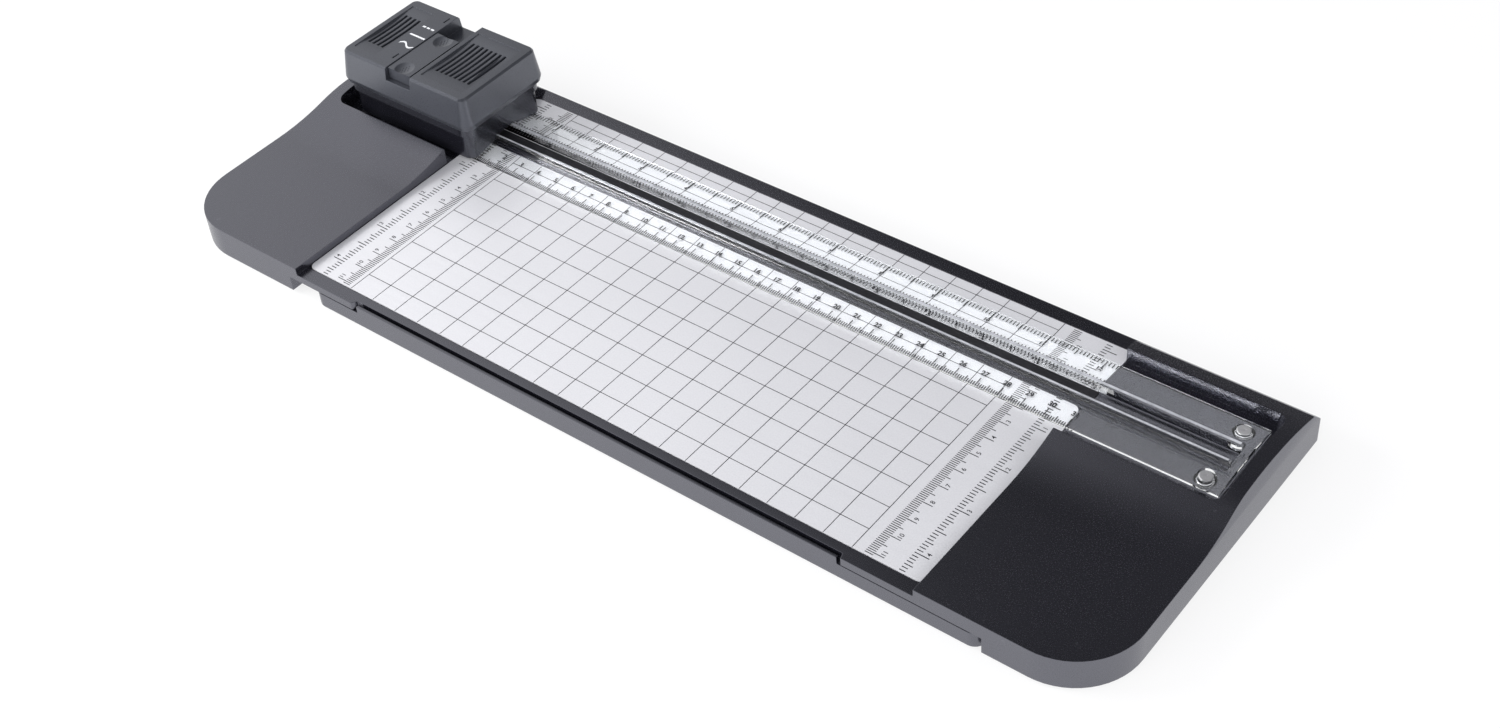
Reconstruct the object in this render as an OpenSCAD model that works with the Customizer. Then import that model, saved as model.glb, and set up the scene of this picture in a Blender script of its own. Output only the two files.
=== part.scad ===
// Rotary paper trimmer with a sliding three-blade cutting head
// X runs along the cut, Y to the rear, Z up; the origin is under the middle of the base

/* [Base] */
// Overall length of the base
base_len = 459.6; // [450:0.2:480]
// Overall depth of the base
base_depth = 157.5; // [154:0.5:170]
// Radius of the front corners seen from above
front_corner_r = 28.3; // [15:0.1:32]
// Radius of the rear corners seen from above
rear_corner_r = 3; // [1:0.5:6]
// Thickness of the outer walls
wall = 2.4; // [2:0.1:3]
// Height of the paper bed above the underside
bed_h = 10.8; // [10.4:0.1:12]
// Thickness of the bed and pocket floors
bed_t = 2.7; // [2.4:0.1:3]
// Length of the paper bed between the wings
bed_len = 310; // [304:1:312]
// Distance of the cut line from the rear edge
cut_rear = 38.6; // [37:0.1:40]

/* [Wings] */
// Height of the flat front of the wings above the underside
wing_h = 14; // [13:0.5:15]
// Depth of the flat front of the wings
wing_flat = 60.6; // [55:0.1:65]
// Radius of the hollow sweep up to the hump
rise_r = 97.5; // [80:0.5:110]
// Steepest angle of the sweep
rise_angle = 15.9; // [14:0.1:18]
// Radius of the shoulder over the sweep
shoulder_r = 65.5; // [55:0.5:75]
// Slope at which the shoulder meets the crown
crown_slope = 3.5; // [3:0.1:5]
// Radius of the flat crown
crown_r = 179; // [150:1:200]
// Width of the sloping rear face
rear_slope_w = 7.5; // [6:0.5:10]
// Height of the upright rear edge under the slope
rear_edge_h = 9.3; // [8:0.1:11]
// Lean of the end walls from the wings' level to the crown
end_lean = 1.2; // [0.4:0.1:1.6]
// Thickness of the end wall outside each parking pocket
pocket_end_wall = 7.2; // [5:0.1:9]
// Reach of the pocket in front of the cut line
pocket_front = 28.3; // [26:0.1:30]
// Reach of the pocket behind the cut line
pocket_rear = 24.3; // [24.1:0.1:26]
// Corner radius of the pocket seen from above
pocket_r = 4.5; // [3:0.5:6]

/* [Bed plates and cutting strip] */
// Thickness of the printed bed plates
plate_t = 0.8; // [0.6:0.1:1]
// Gap left round each plate
plate_gap = 0.3; // [0.2:0.05:0.5]
// Front border of the bed before the front plate
bed_border = 6.7; // [6:0.1:8]
// Distance from the cut line to either plate
plate_to_cut = 7.6; // [7:0.1:8]
// Depth of the rear plate
rear_plate_d = 22.5; // [20:0.1:24]
// Corner radius of the plates
plate_r = 3; // [1:0.5:5]
// Width of the cutting strip
strip_w = 8; // [7:0.1:9]
// Thickness of the cutting strip
strip_t = 1.5; // [1.2:0.1:1.6]
// Distance of the strip's top below the bed
strip_sink = 0.1; // [0.05:0.05:0.2]
// Length by which the strip runs into each pocket
strip_over = 0.4; // [0.2:0.1:1]
// Gap left beside the strip
strip_gap = 0.3; // [0.2:0.05:0.4]

/* [Underside] */
// Thickness of the bottom cover
cover_t = 2.5; // [2:0.1:3]
// Gap round the bottom cover
cover_gap = 0.2; // [0.1:0.05:0.4]
// Radius of the rubber feet
foot_r = 7; // [5:0.5:8]
// Height of the feet below the underside
foot_proud = 1.5; // [1:0.1:3]
// Depth of the feet sunk in the cover
foot_sink = 1.2; // [0.8:0.1:1.5]
// Distance of the feet from the base's ends
foot_end = 24.5; // [20:0.5:30]
// Distance of the feet from the front and rear edges
foot_inset = 30; // [24:1:36]
// Distance of the outer bottom screws from the base's ends
screw_end = 47.5; // [43:0.5:52]
// Distance of the bottom screws from the bar's channel and from the rear edge
screw_inset = 14; // [13:0.5:16]
// Radius of the bottom screw bosses
boss_r = 3.5; // [3:0.1:4.2]
// Radius of the screw shanks
shank_r = 1.5; // [1.2:0.1:1.6]
// Radius of the screw heads
head_r = 2.8; // [2.4:0.1:3]
// Thickness of the screw heads
head_t = 1.4; // [1:0.1:1.6]
// Play round every screw shank
screw_play = 0.05; // [0.02:0.01:0.1]

/* [Extension bar] */
// Depth of the bar and its opening
bar_d = 12; // [11:0.1:14]
// Height of the bar
bar_h = 6.9; // [6.4:0.1:7]
// Play above and behind the bar
bar_play = 0.3; // [0.2:0.05:0.5]
// Reach of the opening under the left wing
left_reach = 5.3; // [4:0.1:8]
// Reach of the opening under the right wing
right_reach = 28.1; // [24:0.1:34]
// Gap for a fingertip at the left end of the bar
finger_gap = 14; // [12:0.1:20]
// Gap at the right end of the bar
bar_end_gap = 0.7; // [0.4:0.1:2]
// Corner radius at the front of the bar
bar_r = 5; // [3:0.5:6]
// Length of the raised lip on the bar
lip_len = 242.5; // [200:0.5:260]
// Place of the middle of the lip along the base
lip_x = 1.15; // [-5:0.05:5]
// Thickness of the lip
lip_t = 1.4; // [1.2:0.1:2]
// Height of the lip above the bar
lip_h = 3.2; // [2.6:0.1:3.4]
// Gap round the lip in its notch
lip_gap = 1.1; // [0.6:0.1:2]
// Distance of the slide arms from the middle
slide_x = 103; // [80:1:120]
// Width of the slide arms
slide_w = 14; // [12:0.5:18]
// Thickness of the slide arms
slide_t = 3; // [2.5:0.1:3.2]
// Pull of the bar
slide_travel = 85; // [60:1:90]
// Depth of the stop at the end of each arm
stop_d = 3.8; // [3:0.1:6]
// Width of the stop beyond each side of the arm
stop_side = 3; // [2:0.1:4]
// Length of the arm's tongue in the bar
tongue_len = 8; // [6:0.5:9]
// Play round the slide arms
slide_play = 0.3; // [0.2:0.05:0.4]
// Thickness of the rails beside the arms
rail_t = 1.6; // [1.2:0.1:2]

/* [Clear guide] */
// Gap for paper under the guide
paper_gap = 0.5; // [0.4:0.05:0.8]
// Half width of the guide
guide_half = 20; // [18.5:0.1:21]
// Gap between the guide's end and the pocket's end wall
guide_end_gap = 4.2; // [3:0.1:5]
// Thickness at the front and rear edges
guide_edge_t = 0.9; // [0.8:0.1:1]
// Thickness beside the ribs
guide_mid_t = 2.6; // [2.4:0.1:2.8]
// Distance of the ribs from the cut line
rib_y = 4.7; // [4.6:0.1:5]
// Thickness of the ribs
rib_t = 1.8; // [1.6:0.1:2]
// Height of the ribs with their beads
rib_h = 4.8; // [4.6:0.1:5.2]
// Radius of the bead along each rib
bead_r = 1.3; // [1.2:0.05:1.4]
// Flat beside each rib
rib_foot = 0.9; // [0.6:0.1:1.2]
// Length of the bar that closes each end
guide_bar = 3.2; // [2.8:0.1:5]
// Distance of the guide screws from the guide's end
guide_screw_end = 8.2; // [7.5:0.1:9]
// Distance of the guide screws from the cut line
guide_screw_y = 14.1; // [13:0.1:14.5]
// Radius of the sunk seats for the screw heads
seat_r = 3.4; // [3.2:0.1:3.8]
// Thickness left under the screw heads
seat_t = 0.8; // [0.6:0.1:1]
// Radius of the guide's screw holes
guide_hole_r = 2.2; // [1.9:0.1:2.6]
// Thickness of the guide screw heads
guide_head_t = 0.9; // [0.7:0.1:1]

/* [Guide springs] */
// Radius of the coil at the middle of the wire
coil_r = 3.1; // [2.6:0.1:3.2]
// Radius of the spring wire
wire_r = 0.35; // [0.3:0.05:0.4]
// Turns of each spring
coil_turns = 5; // [4:1:5]
// Radius of the wells
well_r = 4.2; // [4:0.1:4.5]
// Depth of the wells below the pocket floor
well_depth = 6.3; // [6:0.1:6.5]

/* [Cutting head] */
// Length of the cover along the cut at its rim
head_len = 76.2; // [75.4:0.2:78]
// Width of the cover at its rim
head_wid = 49.6; // [49:0.2:50.4]
// Corner radius of the cover at its rim
head_corner_r = 4.4; // [3.6:0.1:6]
// Gap between the parked head's skirt and the pocket's end wall
head_end_gap = 6.9; // [5:0.1:9]
// Height of the cover
head_h = 16.2; // [15.8:0.1:18]
// Height of the waist over the rim
waist_h = 2.6; // [1.5:0.1:4]
// Bulge at the waist
waist_out = 0.8; // [0.4:0.1:1.4]
// Draw-in under the top bevel
shoulder_in = 1; // [0.4:0.1:1.4]
// Draw-in of the top face
top_in = 1.8; // [1.4:0.1:2.2]
// Height of the top bevel
top_bevel_h = 1; // [0.6:0.1:2]
// Thickness of the cover's walls
shell_t = 1.8; // [1.4:0.1:2.2]
// Thickness of the cover's roof
roof_t = 3; // [2.8:0.1:3.2]
// Length of the carriage's skirt
skirt_len = 71.2; // [70:0.2:72]
// Width of the carriage's skirt
skirt_wid = 45.6; // [44.6:0.2:46]
// Height of the skirt under its band
skirt_h = 12.1; // [11.6:0.1:12.8]
// Height of the band between the skirt and the cover
band_h = 4.2; // [3.6:0.1:4.8]
// Reach of the band beyond the skirt
band_out = 1.3; // [0.6:0.1:1.4]
// Thickness of the skirt
skirt_t = 1.8; // [1.6:0.1:2]
// Corner radius of the skirt
skirt_r = 4.4; // [4:0.1:6]
// Gap between the skirt and the guide's edges
skirt_gap = 1; // [0.8:0.1:1.4]
// Gap between the deck and the rib beads
deck_gap = 1.4; // [1.2:0.1:1.6]
// Thickness of the carriage's deck
deck_t = 1.4; // [1.2:0.1:1.5]
// Gap over the guide in the skirt's end walls
arch_gap = 0.8; // [0.7:0.1:1]
// Distance of the cover's screws from the head's middle along the cut
post_x = 28; // [27:0.1:29]
// Distance of the cover's screws from the cut line
post_y = 15.5; // [14.5:0.1:16]
// Radius of the screw posts
post_r = 3.2; // [3:0.1:3.4]
// Radius of the cover's screw heads
post_head_r = 2.3; // [2.1:0.1:2.4]
// Reach of the cover's screws above the rim
post_screw_reach = 6; // [4:0.5:8]

/* [Grip] */
// Depth of the hollow finger grips
grip_depth = 1.1; // [0.8:0.1:1.2]
// Depth of the step round the finger grips
grip_step = 0.35; // [0.2:0.05:0.5]
// Length of the finger grips across the head
grip_wid = 37; // [34:0.5:40]
// Place of the left grip's outer edge
left_grip_x = -33.7; // [-34.5:0.1:-33]
// Length of the left grip
left_grip_len = 13; // [12:0.1:14]
// Grooves in the left grip
left_grooves = 4; // [3:1:4]
// Place of the right grip's inner edge
right_grip_x = 7.6; // [7.2:0.1:8]
// Length of the right grip
right_grip_len = 25; // [24:0.1:25.6]
// Grooves in the right grip
right_grooves = 8; // [6:1:8]
// Pitch of the grooves
groove_pitch = 2.7; // [2.5:0.1:3]
// Width of a groove
groove_w = 1.3; // [1:0.1:1.5]
// Depth of a groove under the hollow grip
groove_depth = 0.9; // [0.5:0.1:1]
// Length of a groove
groove_len = 24.5; // [20:0.5:26]
// Place of the index marks along the cut
mark_x = -12.1; // [-13:0.1:-11.5]
// Distance of the front index mark from the cut line
mark_front = 14.2; // [13:0.1:16]
// Distance of the rear index mark from the cut line
mark_rear = 18.3; // [16:0.1:19]
// Length of the index marks
mark_len = 4.1; // [3:0.1:5]
// Width and depth of the index marks
mark_w = 0.6; // [0.4:0.1:0.8]

/* [Blade selector] */
// Width of the selector slider
slider_w = 13.9; // [12:0.1:14]
// Length of the selector slider
slider_len = 31.3; // [30:0.1:32]
// Place of the slider's middle along the cut
slider_x = -2.2; // [-2.5:0.1:-2]
// Depth of the slider's channel below the top
channel_depth = 6; // [5:0.1:6.2]
// Play beside the slider
channel_play = 0.45; // [0.2:0.05:0.6]
// Play under and over the slider
slider_play = 0.2; // [0.1:0.05:0.3]
// Distance of the slider's top below the head's top
slider_sink = 0.4; // [0.2:0.1:0.8]
// Thickness of the channel's walls and floor
channel_t = 1.8; // [1.4:0.1:2]
// Distance between the three stops
stop_pitch = 6.5; // [6:0.1:6.6]
// Half width of the post through the channel's floor
tongue_half = 2.5; // [2.2:0.1:3]
// Half length of the post
tongue_run = 3; // [2.4:0.1:3.2]
// Radius of the dished ends of the slider
dish_r = 16; // [14:0.5:20]
// Depth of the dished ends
dish_depth = 0.8; // [0.4:0.1:1]
// Half length of the pressing bar
press_half = 20; // [19.5:0.1:21]
// Half width of the pressing bar
press_wid = 2; // [1.6:0.1:2.2]
// Thickness of the pressing bar
press_t = 3; // [2.6:0.1:3.2]
// Gap between the pressing bar and the arms
press_gap = 0.4; // [0.3:0.05:0.6]
// Radius of the selector screw
selector_screw_r = 1.2; // [1:0.1:1.3]

/* [Blades] */
// Radius of the blade wheels
blade_r = 8; // [7.8:0.05:8.2]
// Thickness of the blade wheels
blade_t = 0.8; // [0.6:0.1:0.9]
// Height of a lifted blade over the bed
blade_lift = 3; // [2.9:0.05:3.2]
// Width of the ground bevel
blade_bevel = 2; // [1.5:0.1:2.5]
// Distance between neighbouring blades
blade_pitch = 22; // [21.8:0.1:22.2]
// Distance from an arm's shaft to its blade's axle
arm_len = 11; // [10.9:0.05:11.1]
// Radius of the shafts and axles
axle_r = 1.5; // [1.3:0.05:1.6]
// Running play of shafts and axles
axle_play = 0.05; // [0.03:0.01:0.08]
// Radius of the arms round shaft and axle
hub_r = 2.5; // [2.3:0.1:2.5]
// Distance of the arms from the blade's plane
arm_y = 2; // [1.8:0.1:2.1]
// Thickness of the arms
arm_t = 2; // [1.6:0.1:2.1]
// Length of an arm's hub
hub_len = 5; // [4.6:0.1:5.2]
// Side play of each blade
blade_play = 0.2; // [0.1:0.05:0.25]
// Radius of the axle heads
axle_head_r = 2.4; // [2.2:0.1:2.5]
// Thickness of the axle heads
axle_head_t = 0.6; // [0.4:0.1:0.7]
// Thickness of the pads that the pressing bar reaches
pad_t = 2; // [1.6:0.1:2.2]
// Half width of the pads
pad_half = 1.5; // [1.2:0.1:1.6]
// Waves round the wavy blade
wave_count = 8; // [6:1:10]
// Sideways reach of the waves
wave_out = 0.9; // [0.5:0.1:1]
// Notches round the perforating blade
notch_count = 12; // [8:1:16]
// Width of a notch
notch_w = 1.6; // [1:0.1:2]
// Depth of a notch
notch_depth = 1.6; // [1:0.1:2]
// Distance of the shaft brackets from the cut line
bracket_y = 11; // [10.8:0.1:11.4]
// Thickness of the shaft brackets
bracket_t = 2.5; // [2:0.1:2.8]
// Half width of the shaft brackets
bracket_half = 3.5; // [3:0.1:4]
// Radius of the arm spring's coil
arm_coil_r = 2.3; // [2.1:0.05:2.4]
// Radius of the arm spring's wire
arm_wire_r = 0.25; // [0.2:0.05:0.3]
// Turns of each arm spring
arm_coil_turns = 3; // [2:1:3]

/* [Rail glides] */
// Length of a glide
glide_len = 6; // [5:0.1:6.2]
// Distance of the glides from the head's middle
glide_x = 28.5; // [28.2:0.1:28.8]
// Half width of a glide
glide_half = 2.6; // [2.4:0.1:2.7]
// Play between a glide and its bead
glide_play = 0.12; // [0.08:0.01:0.15]
// Reach of a glide below the bead's middle
glide_hook = 0.6; // [0.5:0.05:0.7]
// Radius of the pegs that hold the glides
peg_r = 0.9; // [0.7:0.1:1]

/* [Hidden] */
$fn = 64;
over = 1;
slab = 0.02;

// Levels of the base
base_z = foot_proud;
bed_z = base_z + bed_h;
wing_z = base_z + wing_h;
ceiling_z = bed_z - bed_t;
cover_top = base_z + cover_t;
plate_z = bed_z - plate_t;
strip_z = bed_z - strip_sink - strip_t;
half_len = base_len / 2;
half_depth = base_depth / 2;
cut_y = half_depth - cut_rear;
half_bed = bed_len / 2;
tall = 60;

// Wing profile, tangent arcs one after the other
rise_start = [-half_depth + wing_flat, wing_z];
rise_mid = rise_start + [0, rise_r];
rise_end = rise_mid + rise_r * [sin(rise_angle), -cos(rise_angle)];
shoulder_mid = rise_end + shoulder_r * [sin(rise_angle), -cos(rise_angle)];
shoulder_end = shoulder_mid + shoulder_r * [-sin(crown_slope), cos(crown_slope)];
crown_mid = shoulder_end + crown_r * [sin(crown_slope), -cos(crown_slope)];
crown_fall = asin((half_depth - rear_slope_w - crown_mid[0]) / crown_r);
crown_z = crown_mid[1] + crown_r;

// Pockets and guide
pocket_x = half_len - pocket_end_wall;
guide_end = pocket_x - guide_end_gap;
guide_z = bed_z + paper_gap;
rib_end = guide_end - guide_bar;
bead_z = guide_z + rib_h - bead_r;
rib_top = guide_z + rib_h;
slot_half = rib_y - rib_t / 2;
rib_out = rib_y + rib_t / 2;
guide_screw_x = guide_end - guide_screw_end;
seat_z = guide_z + seat_t;
well_z = bed_z - well_depth;
cup_r = well_r + wall;
foot_x = half_len - foot_end;
screw_x = half_len - screw_end;

// Extension bar
bar_play_d = bar_d + bar_play;
opening_x0 = -half_bed - left_reach;
opening_x1 = half_bed + right_reach;
opening_z = base_z + bar_h + bar_play;
bar_x0 = opening_x0 + finger_gap;
bar_x1 = opening_x1 - bar_end_gap;
channel_rear = -half_depth + bar_play_d;
cavity_front = channel_rear + wall;
slide_z = cover_top + slide_play;
stop_front = cavity_front + slide_play + slide_travel;
tongue_y = -half_depth + bar_d - tongue_len;

// Cutting head
head_x = head_end_gap + skirt_len / 2 - pocket_x;
skirt_z = guide_z + guide_edge_t + skirt_gap;
band_z = skirt_z + skirt_h;
rim_z = band_z + band_h;
waist_z = rim_z + waist_h;
top_z = rim_z + head_h;
deck_z = rib_top + deck_gap;
deck_top = deck_z + deck_t;
axle_z = bed_z + blade_lift + blade_r;
shaft_x = blade_pitch - arm_len;
channel_z = top_z - channel_depth;
channel_half = slider_w / 2 + channel_play;
slider_z = channel_z + slider_play;
pad_top = axle_z + blade_r + press_gap + pad_t;
press_z = pad_top + press_gap;
neck_z = channel_z - channel_t - slider_play;
selector_y = -stop_pitch;
arm_out = arm_y + arm_t;
hub_out = arm_y + hub_len;
well_half = arm_out + axle_head_t + blade_play;
grip_r = (grip_wid * grip_wid / 4 + grip_depth * grip_depth) / (2 * grip_depth);
glide_foot = bead_z - glide_hook;

function arc_points(mid, r, from, to, steps, first = 0) =
    [for (i = [first:steps]) let (a = from + (to - from) * i / steps) mid + r * [cos(a), sin(a)]];

wing_profile = concat(
    [[-half_depth, base_z], [-half_depth, wing_z]],
    arc_points(rise_mid, rise_r, -90, -90 + rise_angle, 6),
    arc_points(shoulder_mid, shoulder_r, 90 + rise_angle, 90 + crown_slope, 5, 1),
    arc_points(crown_mid, crown_r, 90 + crown_slope, 90 - crown_fall, 8, 1),
    [[half_depth, base_z + rear_edge_h], [half_depth, base_z]]);

// Points of a helix, and of the rings of wire round it
function helix_point(r, rise, angle) = [r * cos(angle), r * sin(angle), rise * angle / 360];
function helix_ring(r, rise, wire, angle, sides) =
    let (out = [cos(angle), sin(angle), 0])
    let (along = [-2 * PI * r * sin(angle), 2 * PI * r * cos(angle), rise])
    let (side = cross(along / norm(along), out))
    [for (k = [0:sides - 1]) let (a = 360 * k / sides)
        helix_point(r, rise, angle) + wire * (cos(a) * out + sin(a) * side)];
function helix_gap(r, rise, wire, turns, per_turn) =
    let (mids = [for (i = [0:turns * per_turn]) helix_point(r, rise, 360 * i / per_turn)])
    min([for (i = [0:len(mids) - 1]) for (j = [i + per_turn - 2:1:len(mids) - 1])
        norm(mids[i] - mids[j])]) - 2 * wire;

module coil(r, rise, wire, turns) {
    sides = 6;
    per_turn = 8;
    rings = turns * per_turn;
    echo(least_gap = helix_gap(r, rise, wire, turns, per_turn));
    points = [for (i = [0:rings]) each helix_ring(r, rise, wire, 360 * i / per_turn, sides)];
    walls = [for (i = [0:rings - 1]) for (k = [0:sides - 1])
        let (a = i * sides + k)
        let (b = i * sides + (k + 1) % sides)
        each [[a, a + sides, b], [b, a + sides, b + sides]]];
    caps = [for (k = [1:sides - 2]) each [
        [0, k, k + 1],
        [rings * sides, rings * sides + k + 1, rings * sides + k]]];
    polyhedron(points, concat(walls, caps));
}

// Plan shapes with true round corners
module rounded_plan(l, w, r) {
    square([l - 2 * r, w], center = true);
    square([l, w - 2 * r], center = true);
    for (sx = [-1, 1]) for (sy = [-1, 1]) translate([sx * (l / 2 - r), sy * (w / 2 - r)]) circle(r);
}

module base_plan(inset) {
    l = half_len - inset;
    d = half_depth - inset;
    rf = front_corner_r - inset;
    rr = max(rear_corner_r - inset, rear_corner_r / 4);
    translate([-l, -d + rf]) square([2 * l, 2 * d - rf - rr]);
    translate([-l + rf, -d]) square([2 * (l - rf), 2 * rf]);
    translate([-l + rr, d - 2 * rr]) square([2 * (l - rr), 2 * rr]);
    for (s = [-1, 1]) translate([s * (l - rf), -d + rf]) circle(rf);
    for (s = [-1, 1]) translate([s * (l - rr), d - rr]) circle(rr);
}

module plate_plan(y0, y1) {
    translate([0, (y0 + y1) / 2]) rounded_plan(bed_len - 2 * plate_gap, y1 - y0, plate_r);
}

// A profile in Y and Z drawn out along X
module along_x(x0, x1) translate([x0, 0, 0]) rotate([90, 0, 90]) linear_extrude(x1 - x0) children();

// A round bar along Y
module rod_y(r, y0, y1) translate([0, y0, 0]) rotate([-90, 0, 0]) cylinder(r = r, h = y1 - y0);

module both_ends() {
    children();
    mirror([1, 0, 0]) children();
}

module at_head() translate([head_x, cut_y, 0]) children();

// A screw standing head down, with its head's lower face on the plane
module screw(r, head, thick, length) {
    cylinder(r = head, h = thick);
    cylinder(r = r, h = length);
}

module bottom_screw_places() {
    for (x = [-screw_x, 0, screw_x]) for (y = [cavity_front + screw_inset, half_depth - screw_inset])
        translate([x, y, 0]) children();
}

module foot_places() {
    for (x = [-foot_x, foot_x]) for (y = [-half_depth + foot_inset, half_depth - foot_inset])
        translate([x, y, 0]) children();
}

module guide_screw_places() {
    for (x = [-guide_screw_x, guide_screw_x]) for (y = [-guide_screw_y, guide_screw_y])
        translate([x, cut_y + y, 0]) children();
}

module slide_places() for (x = [-slide_x, slide_x]) translate([x, 0, 0]) children();

module pocket_cut() {
    inner = half_bed - 2 * pocket_r;
    mid_y = cut_y + (pocket_rear - pocket_front) / 2;
    translate([(inner + pocket_x) / 2, mid_y, bed_z]) linear_extrude(tall)
        rounded_plan(pocket_x - inner, pocket_front + pocket_rear, pocket_r);
}

module lip_notch() {
    half = lip_len / 2 + lip_gap;
    depth = lip_t + lip_gap;
    translate([lip_x, -half_depth, opening_z - over]) linear_extrude(bed_h)
        polygon([[-half - depth, -over], [-half, depth], [half, depth], [half + depth / 3, -over]]);
}

module casing_cuts() {
    both_ends() translate([0, base_depth, 0]) rotate([90, 0, 0]) linear_extrude(2 * base_depth) polygon([
        [half_len, wing_z], [half_len - end_lean, crown_z], [half_len - end_lean, tall],
        [half_len + over, tall], [half_len + over, wing_z]]);
    translate([-half_bed, -base_depth, bed_z]) cube([bed_len, 2 * base_depth, tall]);
    both_ends() pocket_cut();
    translate([opening_x0, -half_depth - over, base_z - over])
        cube([opening_x1 - opening_x0, bar_play_d + over, opening_z - base_z + over]);
    lip_notch();
    translate([-half_bed, -half_depth + bed_border - plate_gap, plate_z])
        cube([bed_len, cut_y - plate_to_cut + half_depth - bed_border + 2 * plate_gap, tall]);
    translate([-half_bed, cut_y + plate_to_cut - plate_gap, plate_z])
        cube([bed_len, rear_plate_d + 2 * plate_gap, tall]);
    translate([-half_bed - strip_over - strip_gap, cut_y - strip_w / 2 - strip_gap, strip_z])
        cube([bed_len + 2 * (strip_over + strip_gap), strip_w + 2 * strip_gap, tall]);
}

module casing_cavity() {
    intersection() {
        translate([0, 0, base_z - over]) linear_extrude(wing_z - wall - base_z + over) base_plan(wall);
        union() {
            translate([-half_len, cavity_front, 0]) cube([base_len, base_depth, ceiling_z]);
            both_ends() translate([half_bed + wall, cavity_front, 0])
                cube([half_len, rise_start[0] - cavity_front, wing_z]);
        }
    }
}

module base_casing() color([0.2, 0.2, 0.22]) difference() {
    union() {
        difference() {
            intersection() {
                along_x(-half_len, half_len) polygon(wing_profile);
                translate([0, 0, base_z - over]) linear_extrude(tall) base_plan(0);
            }
            casing_cuts();
            casing_cavity();
        }
        bottom_screw_places() translate([0, 0, cover_top])
            cylinder(r = boss_r, h = ceiling_z - cover_top + plate_t);
        both_ends() translate([screw_x, cavity_front + screw_inset, cover_top])
            cylinder(r = boss_r, h = wing_z - wall - cover_top + plate_t);
        guide_screw_places() translate([0, 0, cover_top]) cylinder(r = cup_r, h = bed_z - cover_top);
    }
    bottom_screw_places() translate([0, 0, cover_top - over])
        cylinder(r = shank_r + screw_play, h = ceiling_z - cover_top + over);
    guide_screw_places() translate([0, 0, well_z]) cylinder(r = well_r, h = tall);
    guide_screw_places() cylinder(r = shank_r + screw_play, h = tall);
    slide_places() translate([-slide_w / 2 - slide_play, channel_rear - over, cover_top])
        cube([slide_w + 2 * slide_play, wall + 2 * over, slide_t + 2 * slide_play]);
}

module bottom_cover() color([0.16, 0.16, 0.17]) {
    rail_x = slide_w / 2 + stop_side + slide_play;
    difference() {
        intersection() {
            translate([0, 0, base_z]) linear_extrude(cover_t) base_plan(wall + cover_gap);
            translate([-half_len, cavity_front + cover_gap, 0]) cube([base_len, base_depth, tall]);
        }
        foot_places() cylinder(r = foot_r + cover_gap, h = base_z + foot_sink);
        bottom_screw_places() {
            cylinder(r = shank_r + screw_play, h = tall);
            cylinder(r = head_r + cover_gap, h = base_z + head_t);
        }
    }
    slide_places() for (s = [-1, 1])
        translate([s * (rail_x + rail_t / 2) - rail_t / 2, cavity_front + cover_gap, cover_top])
            cube([rail_t, stop_front + stop_d - cavity_front, slide_t]);
}

module bottom_screws() color([0.6, 0.6, 0.62])
    bottom_screw_places() translate([0, 0, base_z])
        screw(shank_r, head_r, head_t, ceiling_z - base_z - slide_play);

module rubber_feet() color([0.1, 0.1, 0.1])
    foot_places() cylinder(r = foot_r, h = foot_proud + foot_sink);

module bed_plate_front() color([0.88, 0.88, 0.9])
    translate([0, 0, plate_z]) linear_extrude(plate_t)
        plate_plan(-half_depth + bed_border, cut_y - plate_to_cut);

module bed_plate_rear() color([0.88, 0.88, 0.9])
    translate([0, 0, plate_z]) linear_extrude(plate_t)
        plate_plan(cut_y + plate_to_cut, cut_y + plate_to_cut + rear_plate_d);

module cutting_strip() color([0.07, 0.07, 0.07])
    translate([-half_bed - strip_over, cut_y - strip_w / 2, strip_z])
        cube([bed_len + 2 * strip_over, strip_w, strip_t]);

module guide_screws() color([0.75, 0.75, 0.77])
    guide_screw_places() translate([0, 0, seat_z + screw_play + guide_head_t]) mirror([0, 0, 1])
        screw(shank_r, head_r, guide_head_t, seat_z + guide_head_t - cover_top);

module guide_springs() color([0.7, 0.7, 0.72]) {
    rise = (guide_z - well_z - 2 * wire_r - 2 * screw_play) / coil_turns;
    guide_screw_places() translate([0, 0, well_z + wire_r + screw_play])
        coil(coil_r, rise, wire_r, coil_turns);
}

module clear_guide() color([0.85, 0.9, 0.92, 0.4]) translate([0, cut_y, guide_z]) difference() {
    union() {
        difference() {
            along_x(-guide_end, guide_end) polygon([
                [-guide_half, 0], [guide_half, 0], [guide_half, guide_edge_t],
                [rib_out + rib_foot, guide_mid_t], [-rib_out - rib_foot, guide_mid_t],
                [-guide_half, guide_edge_t]]);
            translate([-rib_end, -slot_half, -over]) cube([2 * rib_end, 2 * slot_half, tall]);
        }
        for (s = [-1, 1]) {
            translate([-rib_end, s * rib_y - rib_t / 2, 0]) cube([2 * rib_end, rib_t, rib_h - bead_r]);
            translate([-rib_end, s * rib_y, rib_h - bead_r]) rotate([0, 90, 0])
                cylinder(r = bead_r, h = 2 * rib_end);
        }
    }
    translate([0, -cut_y, 0]) guide_screw_places() {
        translate([0, 0, -over]) cylinder(r = guide_hole_r, h = tall);
        translate([0, 0, seat_t]) cylinder(r = seat_r, h = tall);
    }
}

module head_posts() {
    for (sx = [-1, 1]) for (sy = [-1, 1]) translate([sx * post_x, sy * post_y, 0]) children();
}

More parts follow.
